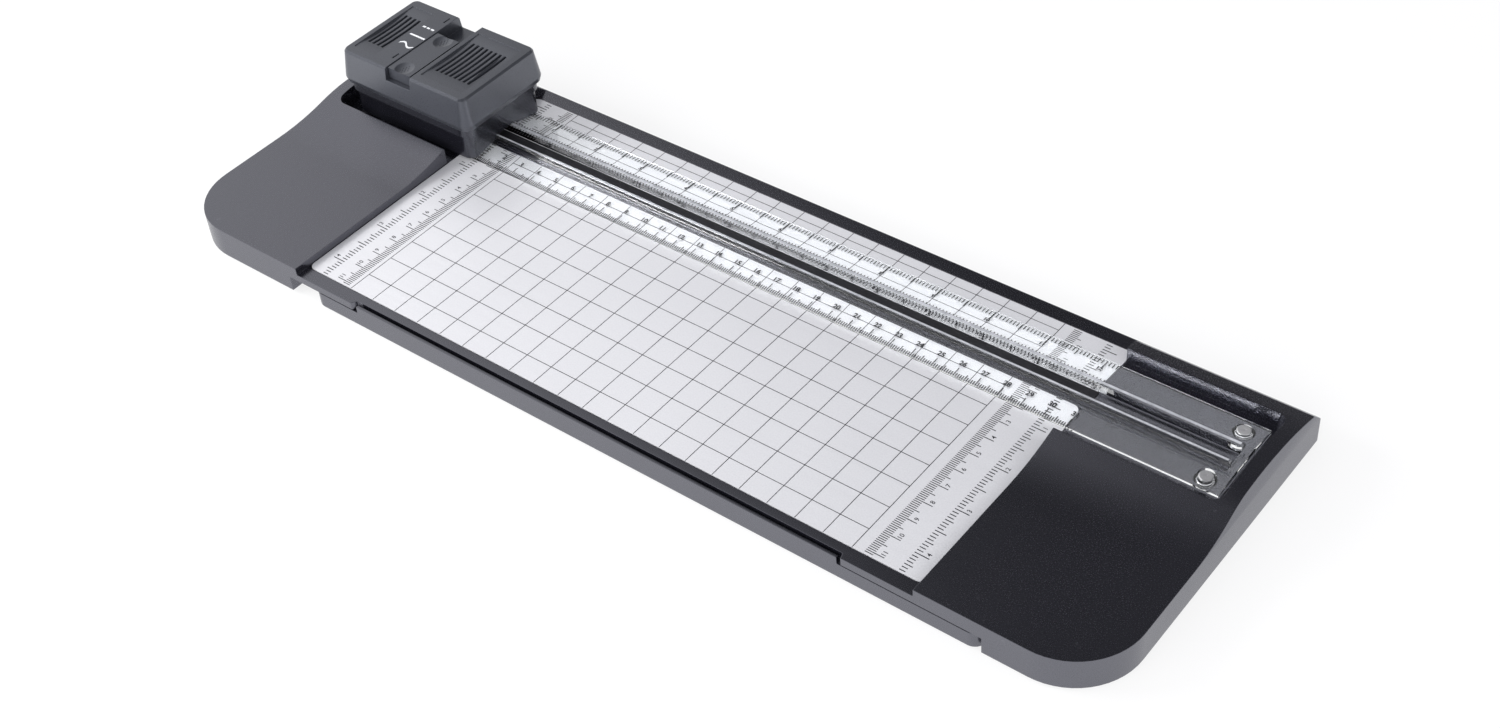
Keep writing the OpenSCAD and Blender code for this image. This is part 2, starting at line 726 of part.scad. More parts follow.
module head_carriage() color([0.16, 0.16, 0.18]) at_head() difference() {
    union() {
        difference() {
            union() {
                translate([0, 0, skirt_z]) linear_extrude(skirt_h)
                    rounded_plan(skirt_len, skirt_wid, skirt_r);
                translate([0, 0, band_z]) linear_extrude(band_h)
                    rounded_plan(skirt_len + 2 * band_out, skirt_wid + 2 * band_out, skirt_r + band_out);
            }
            for (z = [deck_top, deck_z - tall]) translate([0, 0, z]) linear_extrude(tall)
                rounded_plan(skirt_len - 2 * skirt_t, skirt_wid - 2 * skirt_t, skirt_r - skirt_t);
        }
        head_posts() translate([0, 0, deck_z]) cylinder(r = post_r, h = rim_z - deck_z);
        for (x = [-shaft_x, shaft_x]) for (s = [-1, 1])
            translate([x - bracket_half, s * (bracket_y + bracket_t / 2) - bracket_t / 2, deck_z])
                cube([2 * bracket_half, bracket_t, axle_z + bracket_half - deck_z]);
    }
    well_end = blade_pitch + hub_r + blade_play;
    blade_end = blade_pitch + blade_r + blade_lift / 2;
    translate([-well_end, -well_half, deck_z - over])
        cube([2 * well_end, 2 * well_half, deck_t + 2 * over]);
    translate([-blade_end, -arm_y, deck_z - over]) cube([2 * blade_end, 2 * arm_y, deck_t + 2 * over]);
    bore_y = bracket_y + bracket_t + over;
    for (x = [-shaft_x, shaft_x]) translate([x, 0, axle_z]) rod_y(axle_r + axle_play, -bore_y, bore_y);
    arch_top = rib_top + arch_gap;
    arch_side = guide_z + guide_mid_t + 2 * arch_gap;
    arch_half = rib_y + bead_r + arch_gap;
    along_x(-head_len, head_len) polygon([
        [-guide_half + skirt_t, skirt_z - over], [-guide_half + skirt_t, skirt_z],
        [-arch_half, arch_side], [-arch_half, arch_top], [arch_half, arch_top], [arch_half, arch_side],
        [guide_half - skirt_t, skirt_z], [guide_half - skirt_t, skirt_z - over]]);
    head_posts() {
        cylinder(r = shank_r + screw_play, h = tall);
        cylinder(r = post_head_r + 2 * screw_play, h = deck_z + head_t);
    }
    glide_places() translate([0, 0, deck_z - over]) cylinder(r = peg_r + screw_play, h = tall);
}

module cover_slice(grow, z) translate([0, 0, z]) linear_extrude(slab)
    rounded_plan(head_len + 2 * grow, head_wid + 2 * grow, head_corner_r + grow, $fn = 32);

module grip(x, l, count) {
    first = x + (l - (count - 1) * groove_pitch) / 2;
    translate([x, -grip_wid / 2, top_z - grip_step]) cube([l, grip_wid, tall]);
    translate([x, 0, top_z - grip_depth + grip_r]) rotate([0, 90, 0])
        cylinder(r = grip_r, h = l, $fn = 200);
    for (i = [0:count - 1])
        translate([first + i * groove_pitch, 0, top_z - grip_depth - groove_depth])
            translate([-groove_w / 2, -groove_len / 2, 0]) cube([groove_w, groove_len, tall]);
}

module head_cover() color([0.2, 0.2, 0.22]) at_head() difference() {
    union() {
        hull() {
            cover_slice(0, rim_z);
            cover_slice(waist_out, waist_z);
        }
        hull() {
            cover_slice(waist_out, waist_z);
            cover_slice(-shoulder_in, top_z - top_bevel_h);
        }
        hull() {
            cover_slice(-shoulder_in, top_z - top_bevel_h);
            cover_slice(-top_in, top_z - slab);
        }
    }
    difference() {
        union() {
            hull() {
                cover_slice(-shell_t, rim_z - over);
                cover_slice(waist_out - shell_t, waist_z);
            }
            hull() {
                cover_slice(waist_out - shell_t, waist_z);
                cover_slice(-shoulder_in - shell_t, top_z - roof_t);
            }
        }
        translate([slider_x - channel_half - channel_t, -head_wid, channel_z - channel_t])
            cube([2 * (channel_half + channel_t), 2 * head_wid, tall]);
        head_posts() translate([0, 0, rim_z]) cylinder(r = post_r, h = head_h);
    }
    translate([slider_x - channel_half, -head_wid, channel_z])
        cube([2 * channel_half, 2 * head_wid, tall]);
    translate([slider_x - tongue_half - slider_play, -stop_pitch - tongue_run - slider_play, rim_z])
        cube([2 * (tongue_half + slider_play), 2 * (stop_pitch + tongue_run + slider_play), head_h]);
    grip(left_grip_x, left_grip_len, left_grooves);
    grip(right_grip_x, right_grip_len, right_grooves);
    for (y = [-mark_front, mark_rear])
        translate([mark_x - mark_w / 2, y - mark_len / 2, top_z - mark_w]) cube([mark_w, mark_len, tall]);
    head_posts() translate([0, 0, rim_z - over])
        cylinder(r = shank_r + screw_play, h = post_screw_reach + slider_play + over);
}

module head_cover_screws() color([0.6, 0.6, 0.62]) at_head()
    head_posts() translate([0, 0, deck_z])
        screw(shank_r, post_head_r, head_t, rim_z + post_screw_reach - deck_z);

module glide_places() {
    for (sx = [-1, 1]) for (sy = [-1, 1]) translate([sx * glide_x, sy * rib_y, 0]) children();
}

module rail_glides() color([0.8, 0.8, 0.78]) at_head() glide_places() {
    bore = bead_r + glide_play;
    neck = rib_t / 2 + glide_play;
    difference() {
        translate([-glide_len / 2, -glide_half, glide_foot])
            cube([glide_len, 2 * glide_half, deck_z - glide_foot]);
        translate([-glide_len, 0, bead_z]) rotate([0, 90, 0]) cylinder(r = bore, h = 2 * glide_len);
        translate([-glide_len, -neck, glide_foot - over])
            cube([2 * glide_len, 2 * neck, bead_z - glide_foot + over]);
    }
    translate([0, 0, deck_z]) cylinder(r = peg_r, h = deck_t);
}

module arm_shafts() color([0.75, 0.75, 0.77]) at_head()
    for (x = [-shaft_x, shaft_x]) translate([x, 0, axle_z])
        rod_y(axle_r, -bracket_y - bracket_t, bracket_y + bracket_t);

// Which shaft and side each arm takes: shaft side, blade direction, arm side
wave_seat = [-1, -1, -1];
straight_seat = [1, -1, -1];
perforating_seat = [1, 1, 1];

module arm_springs() color([0.7, 0.7, 0.72]) at_head() {
    rise = (bracket_y - hub_out - 4 * arm_wire_r) / arm_coil_turns;
    for (seat = [wave_seat, straight_seat, perforating_seat])
        translate([seat[0] * shaft_x, seat[2] * (hub_out + 2 * arm_wire_r), axle_z])
            rotate([seat[2] * -90, 0, 0]) coil(arm_coil_r, rise, arm_wire_r, arm_coil_turns);
}

module selector_slider() color([0.22, 0.22, 0.24]) at_head() translate([slider_x, selector_y, 0]) {
    rise = channel_depth - slider_play - slider_sink;
    reach = slider_len / 2;
    difference() {
        union() {
            translate([-slider_w / 2, -reach, slider_z]) cube([slider_w, slider_len, rise]);
            translate([-tongue_half, -tongue_run, neck_z])
                cube([2 * tongue_half, 2 * tongue_run, slider_z - neck_z]);
        }
        for (s = [-1, 1])
            translate([0, s * (reach - slider_w / 4), slider_z + rise + dish_r - dish_depth])
                sphere(dish_r);
        translate([0, 0, neck_z - over])
            cylinder(r = selector_screw_r + screw_play, h = slider_z + rise / 2 - neck_z + over);
    }
}

module selector_bar() color([0.5, 0.5, 0.52]) at_head() translate([0, selector_y, 0]) difference() {
    union() {
        translate([-press_half, -press_wid, press_z]) cube([2 * press_half, 2 * press_wid, press_t]);
        translate([slider_x - tongue_half, -tongue_run, press_z])
            cube([2 * tongue_half, 2 * tongue_run, neck_z - press_z]);
    }
    translate([slider_x, 0, press_z - over]) {
        cylinder(r = selector_screw_r + screw_play, h = tall);
        cylinder(r = 2 * selector_screw_r + screw_play, h = head_t + over);
    }
}

module selector_screw() color([0.6, 0.6, 0.62]) at_head() translate([slider_x, selector_y, press_z])
    screw(selector_screw_r, 2 * selector_screw_r, head_t, slider_z - press_z + slider_play);

// A round bar along Y on one side of the blade's plane
module sided_rod(r, side, from, to) rod_y(r, min(side * from, side * to), max(side * from, side * to));

// An arm with its shaft at the origin
module blade_arm(way, side, pad_y) {
    pad_in = way * (arm_len - hub_r - 2 * pad_half);
    pad_out = way * (arm_len - pad_half);
    low = min(pad_in, pad_out);
    wide = abs(pad_out - pad_in);
    rise = pad_top - axle_z;
    near = min(side * arm_y, pad_y - pad_half);
    far = max(side * arm_y, pad_y + pad_half);
    difference() {
        union() {
            sided_rod(hub_r, side, arm_y, hub_out);
            translate([way * arm_len, 0, 0]) sided_rod(hub_r, side, blade_t / 2 + blade_play, arm_out);
            translate([min(0, way * arm_len), side * (arm_y + arm_t / 2) - arm_t / 2, -hub_r])
                cube([arm_len, arm_t, 2 * hub_r]);
            translate([low, side * (arm_y + arm_t / 2) - arm_t / 2, 0]) cube([wide, arm_t, rise]);
            translate([low, near, rise - pad_t]) cube([wide, far - near, pad_t]);
        }
        for (x = [0, way * arm_len]) translate([x, 0, 0]) rod_y(axle_r + axle_play, -head_wid, head_wid);
    }
}

module seat_arm(seat) at_head() translate([seat[0] * shaft_x, 0, axle_z]) children();

module seat_blade(seat) seat_arm(seat) translate([seat[1] * arm_len, 0, 0]) children();

module blade_arm_wave() color([0.62, 0.64, 0.66])
    seat_arm(wave_seat) blade_arm(wave_seat[1], wave_seat[2], -stop_pitch);

module blade_arm_straight() color([0.62, 0.64, 0.66])
    seat_arm(straight_seat) blade_arm(straight_seat[1], straight_seat[2], 0);

module blade_arm_perforating() color([0.62, 0.64, 0.66])
    seat_arm(perforating_seat) blade_arm(perforating_seat[1], perforating_seat[2], stop_pitch);

module blade_axle(side) {
    inner = blade_t / 2 + blade_play;
    mirror([0, side < 0 ? 0 : 1, 0]) {
        rod_y(axle_r, -arm_out - axle_head_t, inner + axle_head_t);
        rod_y(axle_head_r, inner, inner + axle_head_t);
        rod_y(axle_head_r, -arm_out - axle_head_t, -arm_out);
    }
}

module blade_axle_wave() color([0.75, 0.75, 0.77]) seat_blade(wave_seat) blade_axle(wave_seat[2]);

module blade_axle_straight() color([0.75, 0.75, 0.77])
    seat_blade(straight_seat) blade_axle(straight_seat[2]);

module blade_axle_perforating() color([0.75, 0.75, 0.77])
    seat_blade(perforating_seat) blade_axle(perforating_seat[2]);

// A ground disc about the Y axis
module disc(r, edge) {
    rotate([90, 0, 0]) rotate_extrude() polygon([
        [axle_r + axle_play, -blade_t / 2], [r - blade_bevel, -blade_t / 2], [r, -edge],
        [r, edge], [r - blade_bevel, blade_t / 2], [axle_r + axle_play, blade_t / 2]]);
}

// The wavy rim: a ring whose edge swings from side to side
module wave_rim() {
    steps = 12 * wave_count;
    root = blade_r - blade_bevel - blade_t;
    mid = blade_r - blade_bevel / 2;
    edge = blade_t / 8;
    function swing(a, r) = wave_out * sin(wave_count * a) * (r - root) / (blade_r - root);
    function spot(a, r, y) = [r * cos(a), y + swing(a, r), r * sin(a)];
    points = [for (i = [0:steps - 1]) let (a = 360 * i / steps) each [
        spot(a, root, -blade_t / 4), spot(a, mid, -blade_t / 5), spot(a, blade_r, -edge),
        spot(a, blade_r, edge), spot(a, mid, blade_t / 5), spot(a, root, blade_t / 4)]];
    faces = [for (i = [0:steps - 1]) for (k = [0:5])
        let (p = i * 6 + k)
        let (q = i * 6 + (k + 1) % 6)
        let (n = ((i + 1) % steps) * 6)
        each [[p, n + k, q], [q, n + k, n + (k + 1) % 6]]];
    polyhedron(points, faces);
}

module blade_wave() color([0.82, 0.83, 0.85]) seat_blade(wave_seat) {
    disc(blade_r - blade_bevel - blade_t / 2, blade_t / 2);
    wave_rim();
}

module blade_straight() color([0.82, 0.83, 0.85]) seat_blade(straight_seat) disc(blade_r, blade_t / 16);

module blade_perforating() color([0.82, 0.83, 0.85]) seat_blade(perforating_seat) difference() {
    disc(blade_r, blade_t / 16);
    for (i = [0:notch_count - 1]) rotate([0, 360 * i / notch_count, 0])
        translate([blade_r - notch_depth, -blade_t, -notch_w / 2])
            cube([2 * notch_depth, 2 * blade_t, notch_w]);
}

module extension_bar() color([0.2, 0.2, 0.22]) difference() {
    front = -half_depth;
    union() {
        translate([bar_x0, front, base_z]) linear_extrude(bar_h) {
            translate([0, bar_r]) square([bar_x1 - bar_x0, bar_d - bar_r]);
            translate([bar_r, 0]) square([bar_x1 - bar_x0 - 2 * bar_r, bar_d]);
            for (x = [bar_r, bar_x1 - bar_x0 - bar_r]) translate([x, bar_r]) circle(bar_r);
        }
        translate([lip_x - lip_len / 2, front, base_z]) cube([lip_len, lip_t, bar_h + lip_h]);
    }
    slide_places() {
        translate([-slide_w / 2 - screw_play, tongue_y - screw_play, slide_z - screw_play])
            cube([slide_w + 2 * screw_play, bar_d, slide_t + 2 * screw_play]);
        translate([0, tongue_y + tongue_len / 2, 0]) {
            cylinder(r = shank_r + screw_play, h = slide_z + slide_t / 2);
            cylinder(r = head_r + cover_gap, h = base_z + head_t);
        }
    }
}

module extension_arm(x) translate([x, 0, slide_z]) difference() {
    union() {
        translate([-slide_w / 2, tongue_y, 0]) cube([slide_w, stop_front + stop_d - tongue_y, slide_t]);
        translate([-slide_w / 2 - stop_side, stop_front, 0])
            cube([slide_w + 2 * stop_side, stop_d, slide_t]);
    }
    translate([0, tongue_y + tongue_len / 2, -over]) cylinder(r = shank_r + screw_play, h = tall);
}

module extension_arm_left() color([0.3, 0.3, 0.32]) extension_arm(-slide_x);

module extension_arm_right() color([0.3, 0.3, 0.32]) extension_arm(slide_x);

module extension_screws() color([0.6, 0.6, 0.62])
    slide_places() translate([0, tongue_y + tongue_len / 2, base_z])
        screw(shank_r, head_r, head_t, slide_z + slide_t - base_z);

base_casing();
bottom_cover();
bottom_screws();
rubber_feet();
bed_plate_front();
bed_plate_rear();
cutting_strip();
guide_screws();
guide_springs();
clear_guide();
head_carriage();
head_cover();
head_cover_screws();
rail_glides();
arm_shafts();
arm_springs();
selector_slider();
selector_bar();
selector_screw();
blade_arm_wave();
blade_arm_straight();
blade_arm_perforating();
blade_axle_wave();
blade_axle_straight();
blade_axle_perforating();
blade_wave();
blade_straight();
blade_perforating();
extension_bar();
extension_arm_left();
extension_arm_right();
extension_screws();
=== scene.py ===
import math
import bpy
from mathutils import Matrix, Vector


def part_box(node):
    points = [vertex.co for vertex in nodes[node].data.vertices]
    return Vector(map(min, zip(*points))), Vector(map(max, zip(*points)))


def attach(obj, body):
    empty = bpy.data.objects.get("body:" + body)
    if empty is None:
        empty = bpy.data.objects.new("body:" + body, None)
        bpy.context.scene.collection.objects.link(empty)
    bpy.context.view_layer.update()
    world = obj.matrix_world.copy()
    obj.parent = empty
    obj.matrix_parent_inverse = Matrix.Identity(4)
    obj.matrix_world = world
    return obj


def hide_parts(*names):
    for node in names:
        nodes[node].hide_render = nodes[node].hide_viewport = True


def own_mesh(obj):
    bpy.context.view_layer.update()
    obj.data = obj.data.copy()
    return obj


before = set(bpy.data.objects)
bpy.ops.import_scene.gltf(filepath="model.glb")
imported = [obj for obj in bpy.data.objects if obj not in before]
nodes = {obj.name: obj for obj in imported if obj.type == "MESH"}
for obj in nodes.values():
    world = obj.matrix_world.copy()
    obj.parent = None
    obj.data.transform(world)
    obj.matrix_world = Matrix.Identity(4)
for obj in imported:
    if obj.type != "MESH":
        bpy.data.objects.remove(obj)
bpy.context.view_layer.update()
mm = 0.001
centimetre = 10
inch = 25.4
sixteenth = inch / 16
cutLine = 40.15  # the cut runs this far behind the middle of the base
weldGap = 0.000002  # points closer than this become one
print("frame loaded:", len(nodes), "nodes")


# working helpers

def dropSelection():
    if bpy.context.object and bpy.context.object.mode != "OBJECT":
        bpy.ops.object.mode_set(mode="OBJECT")
    bpy.ops.object.select_all(action="DESELECT")


def pick(piece):
    dropSelection()
    piece.select_set(True)
    bpy.context.view_layer.objects.active = piece


def settle(piece):
    pick(piece)
    bpy.ops.object.transform_apply(location=True, rotation=True, scale=True)


def applyModifiers(piece):
    pick(piece)
    for modifier in list(piece.modifiers):
        bpy.ops.object.modifier_apply(modifier=modifier.name)


def joinPieces(pieces, name):
    dropSelection()
    for piece in pieces:
        piece.select_set(True)
    bpy.context.view_layer.objects.active = pieces[0]
    if len(pieces) > 1:
        bpy.ops.object.join()
    joined = bpy.context.object
    joined.name = name
    joined.data.name = name
    return joined


def copyPiece(piece, place, turn=(0, 0, 0)):
    twin = piece.copy()
    twin.data = piece.data.copy()
    bpy.context.scene.collection.objects.link(twin)
    twin.location = Vector(place) * mm
    twin.rotation_euler = turn
    settle(twin)
    return twin


def closeShape(piece, smoothAngle):
    pick(piece)
    bpy.ops.object.mode_set(mode="EDIT")
    bpy.ops.mesh.select_all(action="SELECT")
    bpy.ops.mesh.remove_doubles(threshold=weldGap)
    bpy.ops.mesh.normals_make_consistent(inside=False)
    bpy.ops.object.mode_set(mode="OBJECT")
    bpy.ops.object.shade_smooth_by_angle(angle=math.radians(smoothAngle))


def fitOut(piece, body, finish, slotName, *replaced):
    piece.data.materials.clear()
    piece.data.materials.append(finish)
    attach(piece, body)
    if replaced:
        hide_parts(*replaced)
    return piece


# material helpers: every finish reads Object coordinates

def startFinish(name):
    finish = bpy.data.materials.new(name)
    finish.use_nodes = True
    tree = finish.node_tree
    return finish, tree, tree.nodes["Principled BSDF"], tree.nodes.new("ShaderNodeTexCoord")


def noiseField(tree, coords, scale, detail=4.0, stretch=(1, 1, 1), roughness=0.5):
    mapping = tree.nodes.new("ShaderNodeMapping")
    mapping.inputs["Scale"].default_value = stretch
    noise = tree.nodes.new("ShaderNodeTexNoise")
    noise.inputs["Scale"].default_value = scale
    noise.inputs["Detail"].default_value = detail
    noise.inputs["Roughness"].default_value = roughness
    tree.links.new(coords.outputs["Object"], mapping.inputs["Vector"])
    tree.links.new(mapping.outputs["Vector"], noise.inputs["Vector"])
    return noise.outputs["Fac"]


def colourRamp(tree, source, stops):
    ramp = tree.nodes.new("ShaderNodeValToRGB")
    while len(ramp.color_ramp.elements) < len(stops):
        ramp.color_ramp.elements.new(0.5)
    for element, (place, colour) in zip(ramp.color_ramp.elements, stops):
        element.position = place
        element.color = (*colour, 1)
    tree.links.new(source, ramp.inputs["Fac"])
    return ramp.outputs["Color"]


def twoTone(tree, source, look, ends=(0.3, 0.7)):
    return colourRamp(tree, source, [(ends[0], look["dark"]), (ends[1], look["light"])])


def spread(tree, source, low, high, fromLow=0.3, fromHigh=0.7):
    spreader = tree.nodes.new("ShaderNodeMapRange")
    spreader.inputs["From Min"].default_value = fromLow
    spreader.inputs["From Max"].default_value = fromHigh
    spreader.inputs["To Min"].default_value = low
    spreader.inputs["To Max"].default_value = high
    tree.links.new(source, spreader.inputs["Value"])
    return spreader.outputs["Result"]


def bumpFrom(tree, source, strength, distance):
    bump = tree.nodes.new("ShaderNodeBump")
    bump.inputs["Strength"].default_value = strength
    bump.inputs["Distance"].default_value = distance
    tree.links.new(source, bump.inputs["Height"])
    return bump.outputs["Normal"]


speckEdge = (0.76, 0.82)  # noise above this is a speck of dust
streakHeight = 0.00002


def mouldedPlastic(name, look):
    finish, tree, shader, coords = startFinish(name)
    cloud = noiseField(tree, coords, look["cloudScale"], 3)
    grain = noiseField(tree, coords, look["grainScale"], 3, roughness=0.6)
    dust = noiseField(tree, coords, look["dustScale"], 1)
    base = twoTone(tree, cloud, look)
    specks = tree.nodes.new("ShaderNodeMix")
    specks.data_type = "RGBA"
    tree.links.new(spread(tree, dust, 0, look["dustAmount"], *speckEdge), specks.inputs["Factor"])
    tree.links.new(base, specks.inputs["A"])
    specks.inputs["B"].default_value = (*look["dust"], 1)
    tree.links.new(specks.outputs["Result"], shader.inputs["Base Color"])
    tree.links.new(spread(tree, grain, *look["rough"]), shader.inputs["Roughness"])
    tree.links.new(bumpFrom(tree, grain, look["grainStrength"], look["grainHeight"]), shader.inputs["Normal"])
    shader.inputs["Specular IOR Level"].default_value = look["gloss"]
    shader.inputs["IOR"].default_value = look.get("ior", 1.5)
    shader.inputs["Specular Tint"].default_value = (*look.get("sheen", (1, 1, 1)), 1)
    return finish


def brushedMetal(name, look):
    finish, tree, shader, coords = startFinish(name)
    streak = noiseField(tree, coords, look["streakScale"], 5, look["streak"], 0.65)
    cloud = noiseField(tree, coords, look["cloudScale"], 3)
    tree.links.new(twoTone(tree, cloud, look), shader.inputs["Base Color"])
    tree.links.new(spread(tree, streak, *look["rough"]), shader.inputs["Roughness"])
    tree.links.new(bumpFrom(tree, streak, look["bump"], streakHeight), shader.inputs["Normal"])
    shader.inputs["Metallic"].default_value = look["metallic"]
    return finish


# finishes of the trimmer

casingLook = dict(dark=(0.004, 0.004, 0.006), light=(0.006, 0.006, 0.009), dust=(0.06, 0.06, 0.07),
                  cloudScale=14, grainScale=2600, dustScale=420, dustAmount=0.4,
                  rough=(0.20, 0.30), grainStrength=0.18, grainHeight=0.00006, gloss=0.5,
                  ior=2.35, sheen=(0.87, 0.88, 1.0))
headLook = dict(dark=(0.027, 0.029, 0.035), light=(0.033, 0.035, 0.042), dust=(0.12, 0.12, 0.13),
                cloudScale=30, grainScale=3000, dustScale=600, dustAmount=0.3,
                rough=(0.26, 0.36), grainStrength=0.12, grainHeight=0.00005, gloss=0.5,
                ior=1.95, sheen=(0.87, 0.9, 1.0))
skirtLook = dict(headLook, dark=(0.005, 0.005, 0.007), light=(0.007, 0.007, 0.010),
                 ior=2.0, rough=(0.18, 0.28))
innerLook = dict(dark=(0.018, 0.018, 0.019), light=(0.026, 0.026, 0.028), dust=(0.08, 0.08, 0.08),
                 cloudScale=20, grainScale=1500, dustScale=500, dustAmount=0.2,
                 rough=(0.45, 0.62), grainStrength=0.25, grainHeight=0.00008, gloss=0.45)
stripLook = dict(dark=(0.008, 0.008, 0.010), light=(0.013, 0.013, 0.016), dust=(0.05, 0.05, 0.05),
                 cloudScale=60, grainScale=1800, dustScale=900, dustAmount=0.3,
                 rough=(0.5, 0.7), grainStrength=0.3, grainHeight=0.00008, gloss=0.3)
glideLook = dict(dark=(0.62, 0.62, 0.58), light=(0.72, 0.72, 0.68), dust=(0.5, 0.5, 0.48),
                 cloudScale=80, grainScale=1600, dustScale=900, dustAmount=0.2,
                 rough=(0.35, 0.5), grainStrength=0.12, grainHeight=0.00004, gloss=0.5)
rubberLook = dict(dark=(0.012, 0.012, 0.012), light=(0.022, 0.022, 0.022), dust=(0.06, 0.06, 0.06),
                  cloudScale=90, grainScale=1200, dustScale=700, dustAmount=0.4,
                  rough=(0.7, 0.9), grainStrength=0.4, grainHeight=0.0001, gloss=0.2)
steelLook = dict(dark=(0.50, 0.50, 0.52), light=(0.62, 0.62, 0.64), cloudScale=200, streakScale=900,
                 streak=(1, 0.15, 1), rough=(0.28, 0.42), bump=0.15, metallic=1.0)
screwLook = dict(dark=(0.80, 0.80, 0.82), light=(0.90, 0.90, 0.91), cloudScale=250, streakScale=1000,
                 streak=(1, 1, 0.3), rough=(0.08, 0.16), bump=0.05, metallic=0.72)
# a pale grey film that stands in for the bright bands on the guide's rails and cut ends: painted highlight
highlightFilmLook = dict(dark=(0.30, 0.31, 0.33), light=(0.50, 0.51, 0.54), dust=(0.6, 0.6, 0.62),
                 cloudScale=260, grainScale=1400, dustScale=900, dustAmount=0.3,
                 rough=(0.30, 0.45), grainStrength=0.1, grainHeight=0.00004, gloss=0.5)
brightLook = dict(dark=(0.74, 0.74, 0.76), light=(0.84, 0.84, 0.86), cloudScale=300, streakScale=1200,
                  streak=(1, 1, 0.3), rough=(0.10, 0.22), bump=0.08, metallic=1.0)

casingPlastic = mouldedPlastic("casingPlastic", casingLook)
headPlastic = mouldedPlastic("headPlastic", headLook)
skirtPlastic = mouldedPlastic("skirtPlastic", skirtLook)
innerPlastic = mouldedPlastic("innerPlastic", innerLook)
stripPlastic = mouldedPlastic("stripPlastic", stripLook)
glidePlastic = mouldedPlastic("glidePlastic", glideLook)
footRubber = mouldedPlastic("footRubber", rubberLook)
paintedHighlightAcrylic = mouldedPlastic("paintedHighlightAcrylic", highlightFilmLook)
plainSteel = brushedMetal("plainSteel", steelLook)
brightSteel = brushedMetal("brightSteel", brightLook)
screwSteel = brushedMetal("screwSteel", screwLook)


def bedSheet(name, look):
    finish, tree, shader, coords = startFinish(name)
    speckle = noiseField(tree, coords, look["speckleScale"], 3, roughness=0.7)
    brushed = noiseField(tree, coords, look["brushScale"], 4, look["brush"])
    cloud = noiseField(tree, coords, look["cloudScale"], 2)
    base = twoTone(tree, cloud, look)
    sparkle = tree.nodes.new("ShaderNodeMix")
    sparkle.data_type = "RGBA"
    tree.links.new(spread(tree, speckle, 0, look["speckle"], *look["speckleEdge"]), sparkle.inputs["Factor"])
    tree.links.new(base, sparkle.inputs["A"])
    sparkle.inputs["B"].default_value = (*look["speckleColour"], 1)
    tree.links.new(sparkle.outputs["Result"], shader.inputs["Base Color"])
    tree.links.new(spread(tree, brushed, *look["rough"]), shader.inputs["Roughness"])
    tree.links.new(bumpFrom(tree, speckle, look["bump"], look["speckleHeight"]), shader.inputs["Normal"])
    shader.inputs["Metallic"].default_value = look["metallic"]
    return finish


bedLook = dict(dark=(0.77, 0.77, 0.795), light=(0.82, 0.82, 0.845), speckleColour=(0.66, 0.66, 0.69),
               speckle=0.55, speckleScale=1700, speckleEdge=(0.35, 0.75), speckleHeight=0.00003,
               brushScale=500, brush=(0.05, 1, 1), cloudScale=9, rough=(0.28, 0.38), bump=0.1, metallic=0.36)
bedAluminium = bedSheet("bedAluminium", bedLook)


def clearPlastic(name, look):
    finish, tree, shader, coords = startFinish(name)
    waves = noiseField(tree, coords, look["waveScale"], 2, look["waveStretch"])
    scuffs = noiseField(tree, coords, look["scuffScale"], 4, look["scuffStretch"])
    shader.inputs["Base Color"].default_value = (*look["tint"], 1)
    shader.inputs["Transmission Weight"].default_value = 1
    shader.inputs["IOR"].default_value = look["ior"]
    tree.links.new(spread(tree, scuffs, *look["rough"], *look["scuffEdge"]), shader.inputs["Roughness"])
    tree.links.new(bumpFrom(tree, waves, look["waveStrength"], look["waveHeight"]), shader.inputs["Normal"])
    # let light through to the bed, so the sheet casts no dark shadow
    path = tree.nodes.new("ShaderNodeLightPath")
    through = tree.nodes.new("ShaderNodeBsdfTransparent")
    through.inputs["Color"].default_value = (*look["shadowTint"], 1)
    blend = tree.nodes.new("ShaderNodeMixShader")
    tree.links.new(path.outputs["Is Shadow Ray"], blend.inputs["Fac"])
    tree.links.new(shader.outputs["BSDF"], blend.inputs[1])
    tree.links.new(through.outputs["BSDF"], blend.inputs[2])
    tree.links.new(blend.outputs["Shader"], tree.nodes["Material Output"].inputs["Surface"])
    return finish


clearLook = dict(tint=(0.97, 0.98, 0.985), ior=1.49, rough=(0.0, 0.02), scuffEdge=(0.45, 0.8),
                 waveScale=20, waveStretch=(0.2, 1, 1), waveStrength=0.01, waveHeight=0.0001,
                 scuffScale=900, scuffStretch=(0.08, 1, 1), shadowTint=(0.93, 0.94, 0.95))
clearAcrylic = clearPlastic("clearAcrylic", clearLook)


inkEnds = (0.35, 0.7)


def printedInk(name, look):
    finish, tree, shader, coords = startFinish(name)
    patch = noiseField(tree, coords, look["patchScale"], 3, roughness=0.7)
    tree.links.new(twoTone(tree, patch, look, inkEnds), shader.inputs["Base Color"])
    tree.links.new(spread(tree, patch, *look["rough"]), shader.inputs["Roughness"])
    return finish


bedInkLook = dict(dark=(0.012, 0.012, 0.016), light=(0.03, 0.03, 0.036), patchScale=900, rough=(0.5, 0.65))
guideInkLook = dict(bedInkLook, dark=(0.008, 0.008, 0.010), light=(0.02, 0.02, 0.024))
whiteInkLook = dict(dark=(0.74, 0.75, 0.77), light=(0.84, 0.85, 0.86), patchScale=1200, rough=(0.45, 0.6))
bedInk = printedInk("bedInk", bedInkLook)
guideInk = printedInk("guideInk", guideInkLook)
whiteInk = printedInk("whiteInk", whiteInkLook)
print("finishes ready:", len(bpy.data.materials))


# softened copies of the moulded CAD shapes, so edges catch the light
# without clamp an edge keeps its full width beside short ones

softLook = dict(flatAngle=0.4, smoothAngle=38)


